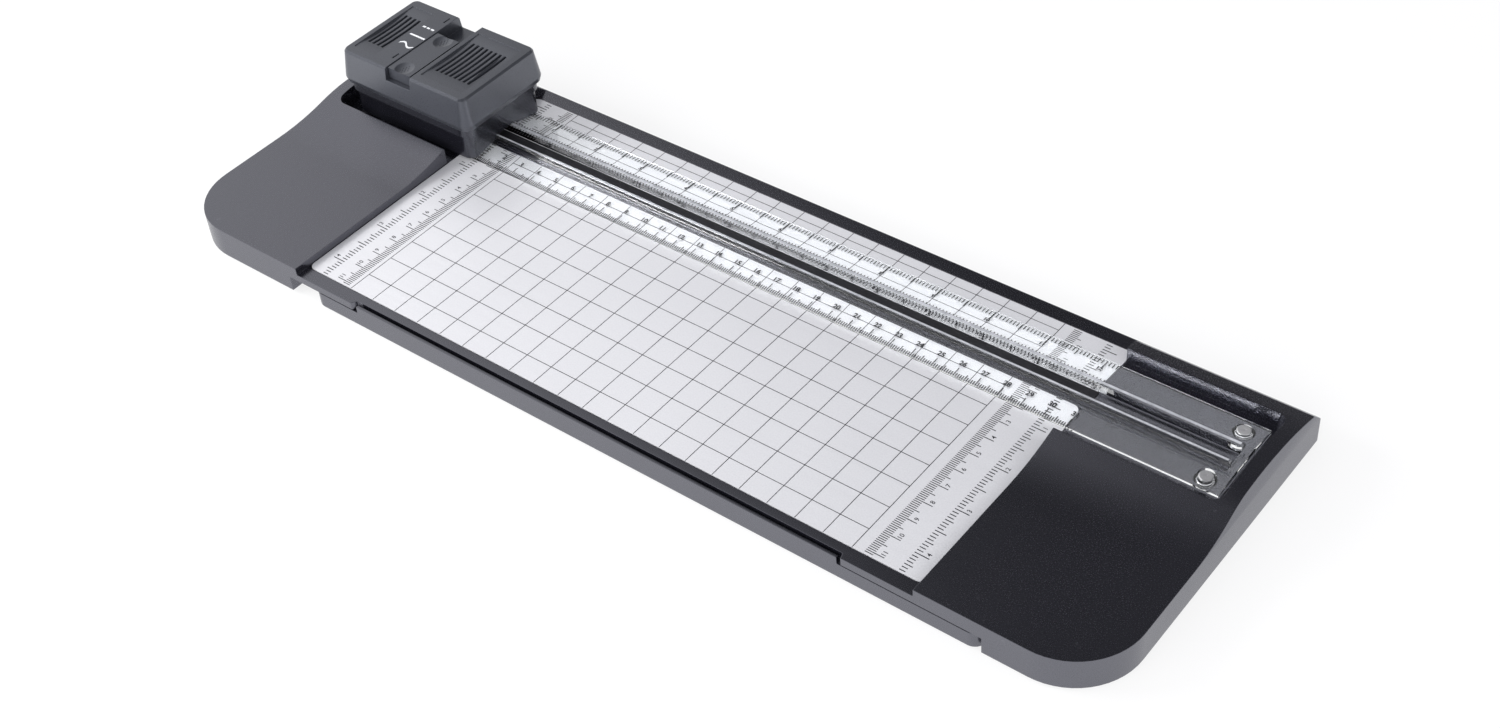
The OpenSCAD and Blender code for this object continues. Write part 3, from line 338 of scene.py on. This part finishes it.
def softCopy(nodeName, name, body, finish, slotName, width,
             segments=2, edgeAngle=32, reshape=None, clamp=True):
    piece = bpy.data.objects.new(name, nodes[nodeName].data.copy())
    bpy.context.scene.collection.objects.link(piece)
    if reshape:
        reshape(piece)
    pick(piece)
    bpy.ops.mesh.customdata_custom_splitnormals_clear()
    bpy.ops.object.mode_set(mode="EDIT")
    bpy.ops.mesh.select_all(action="SELECT")
    bpy.ops.mesh.remove_doubles(threshold=weldGap)
    bpy.ops.mesh.dissolve_limited(angle_limit=math.radians(softLook["flatAngle"]))
    bpy.ops.object.mode_set(mode="OBJECT")
    bevel = piece.modifiers.new("softEdge", "BEVEL")
    bevel.width = width * mm
    bevel.segments = segments
    bevel.limit_method = "ANGLE"
    bevel.angle_limit = math.radians(edgeAngle)
    bevel.use_clamp_overlap = clamp
    bevel.miter_outer = "MITER_ARC"
    applyModifiers(piece)
    low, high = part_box(nodeName)  # no point stands past the solid's box
    for vertex in piece.data.vertices:
        vertex.co = [min(max(place, least), most) for place, least, most in zip(vertex.co, low, high)]
    bpy.ops.object.shade_smooth_by_angle(angle=math.radians(softLook["smoothAngle"]))
    weights = piece.modifiers.new("flatFaces", "WEIGHTED_NORMAL")
    weights.keep_sharp = True
    applyModifiers(piece)
    return fitOut(piece, body, finish, slotName, nodeName)


# the guide's ribs stand as flat-sided rails: reach from the rib's middle to its slot side, outer side and top
railLook = dict(rib=4.7, bead=1.3, margin=0.05, frontRail=(0.5, 0.9, 0.5), rearRail=(0.9, 0.9, 0.93))


def squareRails(guide):
    p = railLook
    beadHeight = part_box("clear_guide")[1].z / mm - p["bead"]
    for vertex in guide.data.vertices:
        across = vertex.co.y / mm - cutLine
        inner, outer, top = p["rearRail"] if across > 0 else p["frontRail"]
        offset = abs(across) - p["rib"]
        if abs(offset) < p["bead"] + p["margin"]:
            offset = min(max(offset, -inner), outer)
            vertex.co.y = (cutLine + math.copysign(p["rib"] + offset, across)) * mm
            vertex.co.z = min(vertex.co.z, (beadHeight + top) * mm)


softEdges = dict(base=0.24, bar=0.30, cover=0.45, skirt=0.35, slider=0.3, guide=0.12, feet=0.5, under=0.3)

softCopy("base_casing", "baseShell", "base", casingPlastic, "casing_plastic", softEdges["base"], clamp=False)
softCopy("extension_bar", "frontBar", "extension", casingPlastic, "casing_plastic", softEdges["bar"],
         clamp=False)
softCopy("head_cover", "headShell", "head", headPlastic, "head_plastic", softEdges["cover"],
         segments=3, edgeAngle=24)
softCopy("head_carriage", "headSkirt", "head", skirtPlastic, "head_plastic", softEdges["skirt"])
selectorSlide = softCopy("selector_slider", "selectorSlide", "selector", headPlastic, "head_plastic",
                         softEdges["slider"])
softCopy("clear_guide", "guideSheet", "guide", clearAcrylic, "clear_plastic", softEdges["guide"],
         reshape=squareRails)
softCopy("rubber_feet", "footPads", "base", footRubber, "foot_rubber", softEdges["feet"], segments=3)
softCopy("bottom_cover", "underCover", "base", innerPlastic, "inner_plastic", softEdges["under"])
# the slider's right side stands back, so the gap beside it shows
sliderGap = 0.6
sliderMiddle = sum(corner.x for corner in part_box("selector_slider")) / 2
for vertex in selectorSlide.data.vertices:
    if vertex.co.x > sliderMiddle:
        vertex.co.x -= sliderGap * mm
print("moulded shapes softened")

# CAD nodes that stay as they are
keptNodes = dict(
    bed_plate_front=bedAluminium, bed_plate_rear=bedAluminium, cutting_strip=stripPlastic,
    rail_glides=glidePlastic, arm_shafts=plainSteel, selector_bar=innerPlastic,
    blade_arm_wave=plainSteel, blade_arm_straight=plainSteel, blade_arm_perforating=plainSteel,
    blade_axle_wave=plainSteel, blade_axle_straight=plainSteel, blade_axle_perforating=plainSteel,
    blade_wave=brightSteel, blade_straight=brightSteel, blade_perforating=brightSteel,
    extension_arm_left=innerPlastic, extension_arm_right=innerPlastic)
for nodeName, finish in keptNodes.items():
    nodes[nodeName].data.materials.clear()
    nodes[nodeName].data.materials.append(finish)


# printing: thin bars and digits laid on a surface

inkFilm = 0.02


def inkBars(size, start, level, counts=(1, 1), steps=(0, 0), thickness=inkFilm):
    dropSelection()
    bpy.ops.mesh.primitive_plane_add(size=1, location=(start[0] * mm, start[1] * mm, level * mm))
    bar = bpy.context.object
    bar.scale = (size[0] * mm, size[1] * mm, 1)
    settle(bar)
    for axis in (0, 1):
        if counts[axis] > 1:
            row = bar.modifiers.new("row", "ARRAY")
            row.count = counts[axis]
            row.use_relative_offset = False
            row.use_constant_offset = True
            shift = [0, 0, 0]
            shift[axis] = steps[axis] * mm
            row.constant_offset_displace = shift
    film = bar.modifiers.new("film", "SOLIDIFY")
    film.thickness = thickness * mm
    film.offset = 1
    applyModifiers(bar)
    return bar


def inkDigits(words, place, level, size, turn=0.0, bold=0.02):
    dropSelection()
    bpy.ops.object.text_add(location=(0, 0, 0))
    digits = bpy.context.object
    digits.data.body = words
    digits.data.size = size * mm
    digits.data.align_x = "CENTER"
    digits.data.align_y = "CENTER"
    digits.data.resolution_u = 3
    digits.data.offset = bold * mm
    digits.data.extrude = inkFilm / 2 * mm
    pick(digits)
    bpy.ops.object.convert(target="MESH")
    digits = bpy.context.object
    digits.location = (place[0] * mm, place[1] * mm, (level + inkFilm / 2) * mm)
    digits.rotation_euler = (0, 0, math.radians(turn))
    settle(digits)
    return digits


# rows of ticks: from, to, step, first place, count in front of the cut and behind it; inches in sixteenths
bedPrint = dict(level=12.305, line=0.30, square=inch / 2, left=-129.6, columns=21,
                topRow=27.45, rows=8, rearRow=52.85, rearRows=2, front=(-71.95, 32.45), rear=(47.85, 70.15),
                rightCm=129.2, rightInch=144.0, leftCm=-131.6, leftInch=-144.3,
                tick=0.36, cmRows=((0, 3.6, 1, 8, 104, 22), (3.6, 5.4, 5, 10, 21, 4),
                                   (5.4, 7.7, 10, 10, 11, 2)),
                inchTick=0.42, inchRows=((0, 2.6, 1, 5, 66, 14), (2.6, 3.6, 4, 8, 16, 3),
                                         (3.6, 4.8, 8, 8, 8, 2), (4.8, 6.2, 16, 16, 4, 1)),
                digit=2.8, digitTurn=90, cmDigits=(6.7, 1.75), cmDigitsRear=(6.7, 1.6), inchDigits=(5.2, 1.7),
                lastCm=11, lastCmRear=2, lastInch=4)


def sideScale(cmBase, inchBase, way):
    p = bedPrint
    bars = []

    def ticks(base, width, unit, rows):
        for near, far, step, first, ahead, behind in rows:
            for side, count in ((-1, ahead), (1, behind)):
                start = (base + way * (near + far) / 2, cutLine + side * first * unit)
                shift = (0, side * step * unit)
                bars.append(inkBars((far - near, width), start, p["level"], (1, count), shift))

    def numbers(base, offset, unit, last, side):
        for n in range(1, last + 1):
            place = (base + way * offset[0], cutLine + side * unit * n + offset[1])
            bars.append(inkDigits(str(n), place, p["level"], p["digit"], p["digitTurn"]))

    ticks(cmBase, p["tick"], 1, p["cmRows"])
    ticks(inchBase, p["inchTick"], sixteenth, p["inchRows"])
    numbers(cmBase, p["cmDigits"], centimetre, p["lastCm"], -1)
    numbers(inchBase, p["inchDigits"], inch, p["lastInch"], -1)
    numbers(cmBase, p["cmDigitsRear"], centimetre, p["lastCmRear"], 1)
    return bars


def printBed():
    p = bedPrint
    across = (p["columns"] - 1) * p["square"]
    midX = p["left"] + across / 2
    bars = []
    for front, rear in (p["front"], p["rear"]):
        bars.append(inkBars((p["line"], rear - front), (p["left"], (front + rear) / 2), p["level"],
                            (p["columns"], 1), (p["square"], 0)))
    for row, count, way in ((p["topRow"], p["rows"], -1), (p["rearRow"], p["rearRows"], 1)):
        bars.append(inkBars((across, p["line"]), (midX, row), p["level"], (1, count), (0, way * p["square"])))
    bars += sideScale(p["rightCm"], p["rightInch"], 1)
    bars += sideScale(p["leftCm"], p["leftInch"], -1)
    return joinPieces(bars, "bedPrinting")


fitOut(printBed(), "base", bedInk, "strip_plastic")
print("bed printed")

# a pale lining on the bed between the strip and the rear plate
liningLook = dict(edges=(44.2, 47.7), length=309.4, level=12.305, thickness=0.02)


def lineStrip():
    p = liningLook
    front, rear = p["edges"]
    lining = inkBars((p["length"], rear - front), (0, (front + rear) / 2), p["level"],
                     thickness=p["thickness"])
    return joinPieces([lining], "stripLining")


fitOut(lineStrip(), "base", bedAluminium, "bed_aluminium")
print("strip lined")

# rows of ticks: from, to, step and count; inches in sixteenths
guidePrint = dict(level=12.795, zero=-155, bold=0.1,
                  front=20.35, tick=0.42, cmRows=((0, 2.2, 1, 311), (2.2, 3.3, 5, 63), (3.3, 4.9, 10, 32)),
                  rear=59.85, inchTick=0.46,
                  inchRows=((0, 2.6, 1, 196), (2.6, 3.8, 8, 25), (3.8, 5.0, 16, 13)),
                  ribRow=(46.7, 49.3, 1, 196), digit=3.3, digitRow=27.85, lastCm=31,
                  inchDigit=2.6, inchRow=54.05, inchShift=-0.6, lastInch=12)


def printGuide():
    p = guidePrint
    bars = []

    def ticks(base, way, width, unit, rows):
        for near, far, step, count in rows:
            start = (p["zero"], base + way * (near + far) / 2)
            bars.append(inkBars((width, far - near), start, p["level"], (count, 1), (step * unit, 0)))

    def numbers(row, size, unit, shift, last):
        for n in range(1, last + 1):
            place = (p["zero"] + unit * n + shift, row)
            bars.append(inkDigits(str(n), place, p["level"], size, bold=p["bold"]))

    ticks(p["front"], 1, p["tick"], 1, p["cmRows"])
    ticks(p["rear"], -1, p["inchTick"], sixteenth, p["inchRows"])
    # a second row at the rear rib's foot, which the rib shows as a comb
    ticks(0, 1, p["inchTick"], sixteenth, [p["ribRow"]])
    numbers(p["digitRow"], p["digit"], centimetre, 0, p["lastCm"])
    numbers(p["inchRow"], p["inchDigit"], inch, p["inchShift"], p["lastInch"])
    return joinPieces(bars, "guidePrinting")


fitOut(printGuide(), "guide", guideInk, "strip_plastic")
print("guide printed")

# pale films painted on the rails' tops where the glides run, and on the guide's cut ends: painted highlights
railHighlightLook = dict(front=(35.35, 0.9), rear=(44.85, 1.2), length=428, thickness=0.01,
                endHeight=0.9, endDepth=39, endLift=0.05)


def wearRails():
    p = railHighlightLook
    guideLow, guideHigh = (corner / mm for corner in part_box("clear_guide"))
    films = []
    for (middle, width), rail in ((p["front"], "frontRail"), (p["rear"], "rearRail")):
        top = guideHigh.z - railLook["bead"] + railLook[rail][2]
        films.append(inkBars((p["length"], width), (0, middle), top, thickness=p["thickness"]))
    for side in (guideLow.x, guideHigh.x):
        film = inkBars((p["endHeight"], p["endDepth"]), (0, 0), 0, thickness=p["thickness"])
        film.rotation_euler = (0, math.copysign(math.pi / 2, side), 0)
        film.location = Vector((side, cutLine, guideLow.z + p["endLift"] + p["endHeight"] / 2)) * mm
        settle(film)
        films.append(film)
    return joinPieces(films, "railHighlights")


fitOut(wearRails(), "guide", paintedHighlightAcrylic, "clear_plastic")
print("rail highlights painted")

# white marks on the head: dashes, a line and a wave, from rear to front
headMark = dict(level=47.185, width=1.0, dash=1.75, dashes=3, dashStep=2.5, dashStart=(-197.5, 49.45),
                line=9.0, linePlace=(-194.7, 42.05), wave=8.4, waveHeight=1.25, waveSteps=28,
                wavePlace=(-194.4, 34.65))


def markHead():
    p = headMark
    bars = [
        inkBars((p["dash"], p["width"]), p["dashStart"], p["level"], (p["dashes"], 1), (p["dashStep"], 0)),
        inkBars((p["line"], p["width"]), p["linePlace"], p["level"])]
    dropSelection()
    bpy.ops.mesh.primitive_grid_add(x_subdivisions=p["waveSteps"], y_subdivisions=1, size=1)
    wave = bpy.context.object
    wave.scale = (p["wave"] * mm, p["width"] * mm, 1)
    settle(wave)
    for vertex in wave.data.vertices:
        vertex.co.y -= p["waveHeight"] * mm * math.sin(vertex.co.x / (p["wave"] / 2 * mm) * math.pi)
    wave.location = Vector((*p["wavePlace"], p["level"])) * mm
    film = wave.modifiers.new("film", "SOLIDIFY")
    film.thickness = inkFilm * mm
    film.offset = 1
    settle(wave)
    applyModifiers(wave)
    bars.append(wave)
    return joinPieces(bars, "headMarks")


fitOut(markHead(), "head", whiteInk, "glide_plastic")
print("head marked")

# small raised dots on the slider's dished ends
dotLook = dict(x=-182.3, top=46.8, middle=33.65, reach=12.175, dishRadius=16, dishDepth=0.8,
               dot=0.42, pitch=1.5, rowPitch=0.87, sunk=0.05, flat=0.7, smooth=60,
               spots=((0, -1), (0, 0), (0, 1), (-1, -0.5), (-1, 0.5), (1, -0.5), (1, 0.5), (-2, 0), (2, 0)))


def dotSlider():
    p = dotLook
    dots = []
    for end in (-1, 1):
        for row, column in p["spots"]:
            dx, dy = column * p["pitch"], row * p["pitch"] * p["rowPitch"]
            sink = p["dishDepth"] - (dx * dx + dy * dy) / (2 * p["dishRadius"])
            place = (p["x"] + dx, p["middle"] + end * p["reach"] + dy, p["top"] - sink - p["sunk"])
            dropSelection()
            bpy.ops.mesh.primitive_uv_sphere_add(segments=12, ring_count=8, radius=p["dot"] * mm,
                                                 location=Vector(place) * mm)
            dot = bpy.context.object
            dot.scale = (1, 1, p["flat"])
            settle(dot)
            dots.append(dot)
    piece = joinPieces(dots, "sliderDots")
    closeShape(piece, p["smooth"])
    return piece


fitOut(dotSlider(), "selector", headPlastic, "head_plastic")
print("slider dotted")


# a screw with a domed head and a cross recess, head up, its seat at the origin

screwShape = dict(sides=40, endInset=0.35, roundSteps=4, roundAngle=60, recessTurns=(20, 110), smooth=35)


def crossScrew(look, length):
    shape = screwShape
    dropSelection()
    bpy.ops.mesh.primitive_cylinder_add(vertices=shape["sides"], radius=look["headRadius"] * mm,
                                        depth=look["headHeight"] * mm,
                                        location=(0, 0, look["headHeight"] / 2 * mm))
    screw = bpy.context.object
    settle(screw)
    bpy.ops.object.mode_set(mode="EDIT")
    bpy.ops.mesh.select_all(action="DESELECT")
    bpy.ops.object.mode_set(mode="OBJECT")
    for polygon in screw.data.polygons:
        polygon.select = polygon.normal.z < -0.9
    bpy.ops.object.mode_set(mode="EDIT")
    bpy.ops.mesh.select_mode(type="FACE")
    bpy.ops.mesh.inset(thickness=(look["headRadius"] - look["shankRadius"]) * mm)
    bpy.ops.mesh.extrude_region_move(TRANSFORM_OT_translate={"value": (0, 0, -length * mm)})
    bpy.ops.mesh.inset(thickness=look["shankRadius"] * shape["endInset"] * mm)  # a ring on the shank's end
    bpy.ops.object.mode_set(mode="OBJECT")
    dome = screw.modifiers.new("roundHead", "BEVEL")
    dome.width = look["round"] * mm
    dome.segments = shape["roundSteps"]
    dome.limit_method = "ANGLE"
    dome.angle_limit = math.radians(shape["roundAngle"])
    applyModifiers(screw)
    recess = []
    for turn in shape["recessTurns"]:
        dropSelection()
        bpy.ops.mesh.primitive_cube_add(size=1, location=(0, 0, look["headHeight"] * mm))
        arm = bpy.context.object
        arm.scale = (look["recess"] * mm, look["slot"] * mm, look["recessDepth"] * 2 * mm)
        arm.rotation_euler = (0, 0, math.radians(turn))
        settle(arm)
        recess.append(arm)
    for arm in recess:
        cut = screw.modifiers.new("recess", "BOOLEAN")
        cut.operation = "DIFFERENCE"
        cut.solver = "EXACT"
        cut.object = arm
    applyModifiers(screw)
    for arm in recess:
        bpy.data.objects.remove(arm)
    closeShape(screw, shape["smooth"])
    return screw


def nodeTop(nodeName):
    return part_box(nodeName)[1].z / mm


def nodeFoot(nodeName):
    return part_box(nodeName)[0].z / mm


def screwSet(name, nodeName, look, places, headDown):
    model = crossScrew(look, nodeTop(nodeName) - nodeFoot(nodeName) - look["headHeight"])
    seat = nodeTop(nodeName) - look["headHeight"]
    turn = (0, 0, 0)
    if headDown:
        seat = nodeFoot(nodeName) + look["headHeight"]
        turn = (math.pi, 0, 0)
    twins = [copyPiece(model, (x, y, seat), turn) for x, y in places]
    bpy.data.objects.remove(model)
    return joinPieces(twins, name)


# the middles of a node's corner screws, and of a pair between them
def cornerPlaces(nodeName, headRadius, middleX=None):
    low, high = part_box(nodeName)
    xs = [low.x / mm + headRadius, high.x / mm - headRadius]
    if middleX is not None:
        xs.append(middleX)
    return [(x, y) for x in xs for y in (low.y / mm + headRadius, high.y / mm - headRadius)]


guideScrewLook = dict(headRadius=2.8, headHeight=0.9, shankRadius=1.5, round=0.75,
                      recess=2.0, slot=0.6, recessDepth=0.35)
guideScrewPlaces = cornerPlaces("guide_screws", guideScrewLook["headRadius"])
guideScrews = screwSet("guideScrews", "guide_screws", guideScrewLook, guideScrewPlaces, False)
fitOut(guideScrews, "base", screwSteel, "bright_steel", "guide_screws")

bottomScrewLook = dict(headRadius=2.8, headHeight=1.4, shankRadius=1.5, round=0.4,
                       recess=2.8, slot=0.8, recessDepth=0.7)
bottomScrewPlaces = cornerPlaces("bottom_screws", bottomScrewLook["headRadius"], 0)
bottomScrews = screwSet("bottomScrews", "bottom_screws", bottomScrewLook, bottomScrewPlaces, True)
fitOut(bottomScrews, "base", plainSteel, "steel", "bottom_screws")

barLow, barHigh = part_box("extension_screws")
barScrewPlaces = [(x, (barLow.y + barHigh.y) / 2 / mm) for x in (
    barLow.x / mm + bottomScrewLook["headRadius"], barHigh.x / mm - bottomScrewLook["headRadius"])]
barScrews = screwSet("barScrews", "extension_screws", bottomScrewLook, barScrewPlaces, True)
fitOut(barScrews, "extension", plainSteel, "steel", "extension_screws")

coverScrewLook = dict(headRadius=2.3, headHeight=1.4, shankRadius=1.5, round=0.35,
                      recess=2.2, slot=0.7, recessDepth=0.7)
coverScrewPlaces = cornerPlaces("head_cover_screws", coverScrewLook["headRadius"])
coverScrews = screwSet("coverScrews", "head_cover_screws", coverScrewLook, coverScrewPlaces, True)
fitOut(coverScrews, "head", plainSteel, "steel", "head_cover_screws")

selectorScrewLook = dict(headRadius=2.4, headHeight=1.4, shankRadius=1.2, round=0.3,
                         recess=2.2, slot=0.7, recessDepth=0.6)
pinLow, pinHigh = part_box("selector_screw")
selectorScrewPlace = ((pinLow.x + pinHigh.x) / 2 / mm, (pinLow.y + pinHigh.y) / 2 / mm)
selectorScrew = screwSet("selectorScrew", "selector_screw", selectorScrewLook, [selectorScrewPlace], True)
fitOut(selectorScrew, "selector", plainSteel, "steel", "selector_screw")
print("screws made")


# coil springs: a ring of wire drawn out by the Screw modifier

coilShape = dict(wireSides=12, steps=36, smooth=50)


def coilSpring(look, rise):
    dropSelection()
    bpy.ops.mesh.primitive_circle_add(vertices=coilShape["wireSides"], radius=look["wire"] * mm,
                                      location=(look["radius"] * mm, 0, 0), rotation=(math.pi / 2, 0, 0))
    spring = bpy.context.object
    settle(spring)
    wind = spring.modifiers.new("wind", "SCREW")
    wind.axis = "Z"
    wind.angle = 2 * math.pi
    wind.screw_offset = rise * mm
    wind.iterations = look["turns"]
    wind.steps = coilShape["steps"]
    wind.render_steps = coilShape["steps"]
    applyModifiers(spring)
    bpy.ops.object.mode_set(mode="EDIT")
    bpy.ops.mesh.select_all(action="SELECT")
    bpy.ops.mesh.fill_holes(sides=0)
    bpy.ops.object.mode_set(mode="OBJECT")
    closeShape(spring, coilShape["smooth"])
    return spring


guideSpringLook = dict(radius=3.1, wire=0.35, turns=5)


def windGuideSprings():
    p = guideSpringLook
    foot, top = nodeFoot("guide_springs"), nodeTop("guide_springs")
    model = coilSpring(p, (top - foot - 2 * p["wire"]) / p["turns"])
    twins = [copyPiece(model, (x, y, foot + p["wire"])) for x, y in guideScrewPlaces]
    bpy.data.objects.remove(model)
    return joinPieces(twins, "guideCoils")


guideCoils = fitOut(windGuideSprings(), "base", screwSteel, "steel", "guide_springs")
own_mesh(guideCoils)

# each arm spring sits on its shaft between the arm's hub and the bracket, in front of or behind the cut
armSpringLook = dict(radius=2.3, wire=0.25, turns=3, hub=7, bracket=11, axisHeight=23.3,
                     shafts=((-191.1, -1), (-169.1, -1), (-169.1, 1)))


def windArmSprings():
    p = armSpringLook
    model = coilSpring(p, (p["bracket"] - p["hub"] - 4 * p["wire"]) / p["turns"])
    start = p["hub"] + 2 * p["wire"]
    twins = [copyPiece(model, (x, cutLine + side * start, p["axisHeight"]), (-side * math.pi / 2, 0, 0))
             for x, side in p["shafts"]]
    bpy.data.objects.remove(model)
    return joinPieces(twins, "armCoils")


fitOut(windArmSprings(), "head", plainSteel, "steel", "arm_springs")
print("springs wound")


# studio: pale floor, white surround, soft lights, camera at the photo's place

floorLook = dict(size=8.0, cuts=3, dark=(0.90, 0.90, 0.905), light=(0.92, 0.92, 0.92), sweepScale=2,
                 rough=0.9, shadow=0.22)


def buildFloor():
    dropSelection()
    bpy.ops.mesh.primitive_plane_add(size=floorLook["size"], location=(0, 0, 0))
    floor = bpy.context.object
    floor.name = "paleFloor"
    bpy.ops.object.mode_set(mode="EDIT")
    bpy.ops.mesh.subdivide(number_cuts=floorLook["cuts"])
    bpy.ops.object.mode_set(mode="OBJECT")
    finish, tree, shader, coords = startFinish("paleFloor")
    sweep = noiseField(tree, coords, floorLook["sweepScale"], 2)
    tree.links.new(twoTone(tree, sweep, floorLook), shader.inputs["Base Color"])
    shader.inputs["Roughness"].default_value = floorLook["rough"]
    shader.inputs["Specular IOR Level"].default_value = 0.0
    path = tree.nodes.new("ShaderNodeLightPath")
    seen = tree.nodes.new("ShaderNodeMath")
    seen.operation = "MAXIMUM"
    tree.links.new(path.outputs["Is Camera Ray"], seen.inputs[0])
    both = tree.nodes.new("ShaderNodeMath")
    both.operation = "MAXIMUM"
    tree.links.new(path.outputs["Is Glossy Ray"], both.inputs[0])
    tree.links.new(path.outputs["Is Transmission Ray"], both.inputs[1])
    tree.links.new(both.outputs["Value"], seen.inputs[1])
    share = tree.nodes.new("ShaderNodeMath")
    share.operation = "MULTIPLY"
    share.inputs[1].default_value = 1 - floorLook["shadow"]
    tree.links.new(seen.outputs["Value"], share.inputs[0])
    glow = tree.nodes.new("ShaderNodeEmission")
    glow.inputs["Color"].default_value = (1, 1, 1, 1)
    glow.inputs["Strength"].default_value = 1
    blend = tree.nodes.new("ShaderNodeMixShader")
    tree.links.new(share.outputs["Value"], blend.inputs["Fac"])
    tree.links.new(shader.outputs["BSDF"], blend.inputs[1])
    tree.links.new(glow.outputs["Emission"], blend.inputs[2])
    tree.links.new(blend.outputs["Shader"], tree.nodes["Material Output"].inputs["Surface"])
    floor.data.materials.append(finish)


# what gloss sees: a light wall at the left by the angle to bright, white at eye level apart from the front
studio = dict(ambient=0.64, ambientColour=(0.94, 0.945, 1.0), bright=(-0.9, -0.1, 0.42),
              sides=((0.40, 0.09), (0.50, 0.08), (0.58, 0.01), (0.62, 0.05), (0.70, 0.42), (0.79, 0.95),
                     (0.92, 1.0)),
              horizon=(0.10, 0.28), front=(-0.75, -0.30), frontShade=0.15)


def buildWorld():
    world = bpy.data.worlds.new("whiteStudio")
    bpy.context.scene.world = world
    world.use_nodes = True
    tree = world.node_tree
    soft = tree.nodes["Background"]
    soft.inputs["Color"].default_value = (*studio["ambientColour"], 1)
    soft.inputs["Strength"].default_value = studio["ambient"]
    white = tree.nodes.new("ShaderNodeBackground")
    white.inputs["Color"].default_value = (1, 1, 1, 1)
    white.inputs["Strength"].default_value = 1
    coords = tree.nodes.new("ShaderNodeTexCoord")
    facing = tree.nodes.new("ShaderNodeVectorMath")
    facing.operation = "DOT_PRODUCT"
    facing.inputs[1].default_value = studio["bright"]
    tree.links.new(coords.outputs["Generated"], facing.inputs[0])
    greys = [(place, (grey, grey, grey)) for place, grey in studio["sides"]]
    wall = colourRamp(tree, facing.outputs["Value"], greys)
    split = tree.nodes.new("ShaderNodeSeparateXYZ")
    tree.links.new(coords.outputs["Generated"], split.inputs["Vector"])
    low = tree.nodes.new("ShaderNodeMath")
    low.operation = "MULTIPLY"
    tree.links.new(spread(tree, split.outputs["Z"], 1, 0, *studio["horizon"]), low.inputs[0])
    tree.links.new(spread(tree, split.outputs["Y"], studio["frontShade"], 1, *studio["front"]), low.inputs[1])
    surround = tree.nodes.new("ShaderNodeMix")
    surround.data_type = "RGBA"
    surround.inputs["B"].default_value = (1, 1, 1, 1)
    tree.links.new(low.outputs["Value"], surround.inputs["Factor"])
    tree.links.new(wall, surround.inputs["A"])
    gloss = tree.nodes.new("ShaderNodeBackground")
    gloss.inputs["Strength"].default_value = 1
    tree.links.new(surround.outputs["Result"], gloss.inputs["Color"])
    path = tree.nodes.new("ShaderNodeLightPath")
    glossy = tree.nodes.new("ShaderNodeMixShader")
    tree.links.new(path.outputs["Is Glossy Ray"], glossy.inputs["Fac"])
    tree.links.new(soft.outputs["Background"], glossy.inputs[1])
    tree.links.new(gloss.outputs["Background"], glossy.inputs[2])
    seen = tree.nodes.new("ShaderNodeMath")
    seen.operation = "MAXIMUM"
    tree.links.new(path.outputs["Is Camera Ray"], seen.inputs[0])
    tree.links.new(path.outputs["Is Transmission Ray"], seen.inputs[1])
    shown = tree.nodes.new("ShaderNodeMixShader")
    tree.links.new(seen.outputs["Value"], shown.inputs["Fac"])
    tree.links.new(glossy.outputs["Shader"], shown.inputs[1])
    tree.links.new(white.outputs["Background"], shown.inputs[2])
    tree.links.new(shown.outputs["Shader"], tree.nodes["World Output"].inputs["Surface"])


# the left and front panels light the part without showing in its gloss
lamps = dict(
    leftPanel=dict(place=(-0.90, -0.50, 0.60), target=(-0.10, -0.02, 0.02), size=(0.7, 0.5), power=11,
                   inGloss=False),
    frontPanel=dict(place=(0.15, -1.6, 0.55), target=(0.0, 0.0, 0.02), size=(2.8, 1.0), power=40,
                    inGloss=False),
    rightPanel=dict(place=(1.5, 0.1, 0.7), target=(0.1, 0.0, 0.02), size=(1.0, 0.6), power=6,
                    inGloss=True))


def softLamp(name, look):
    dropSelection()
    bpy.ops.object.light_add(type="AREA", location=look["place"])
    lamp = bpy.context.object
    lamp.name = name
    lamp.data.shape = "RECTANGLE"
    lamp.data.size, lamp.data.size_y = look["size"]
    lamp.data.energy = look["power"]
    lamp.visible_glossy = look["inGloss"]
    aim = Vector(look["target"]) - Vector(look["place"])
    lamp.rotation_euler = aim.to_track_quat("-Z", "Y").to_euler()


buildFloor()
buildWorld()
for lampName, lampLook in lamps.items():
    softLamp(lampName, lampLook)

shot = dict(place=(435.786, -471.409, 568.131), right=(0.78807, 0.61200, -0.06641),
            up=(-0.37711, 0.56523, 0.73369), ahead=(-0.48656, 0.55315, -0.67623), lens=50.8535, sensor=36,
            clip=(0.02, 30))
dropSelection()
bpy.ops.object.camera_add()
camera = bpy.context.object
camera.name = "photoCamera"
turn = Matrix((shot["right"], shot["up"], tuple(-a for a in shot["ahead"]))).transposed()
camera.matrix_world = Matrix.Translation(Vector(shot["place"]) * mm) @ turn.to_4x4()
camera.data.sensor_fit = "HORIZONTAL"
camera.data.sensor_width = shot["sensor"]
camera.data.lens = shot["lens"]
camera.data.clip_start, camera.data.clip_end = shot["clip"]
bpy.context.scene.camera = camera
bpy.context.scene.view_settings.view_transform = "Standard"
print("studio ready")
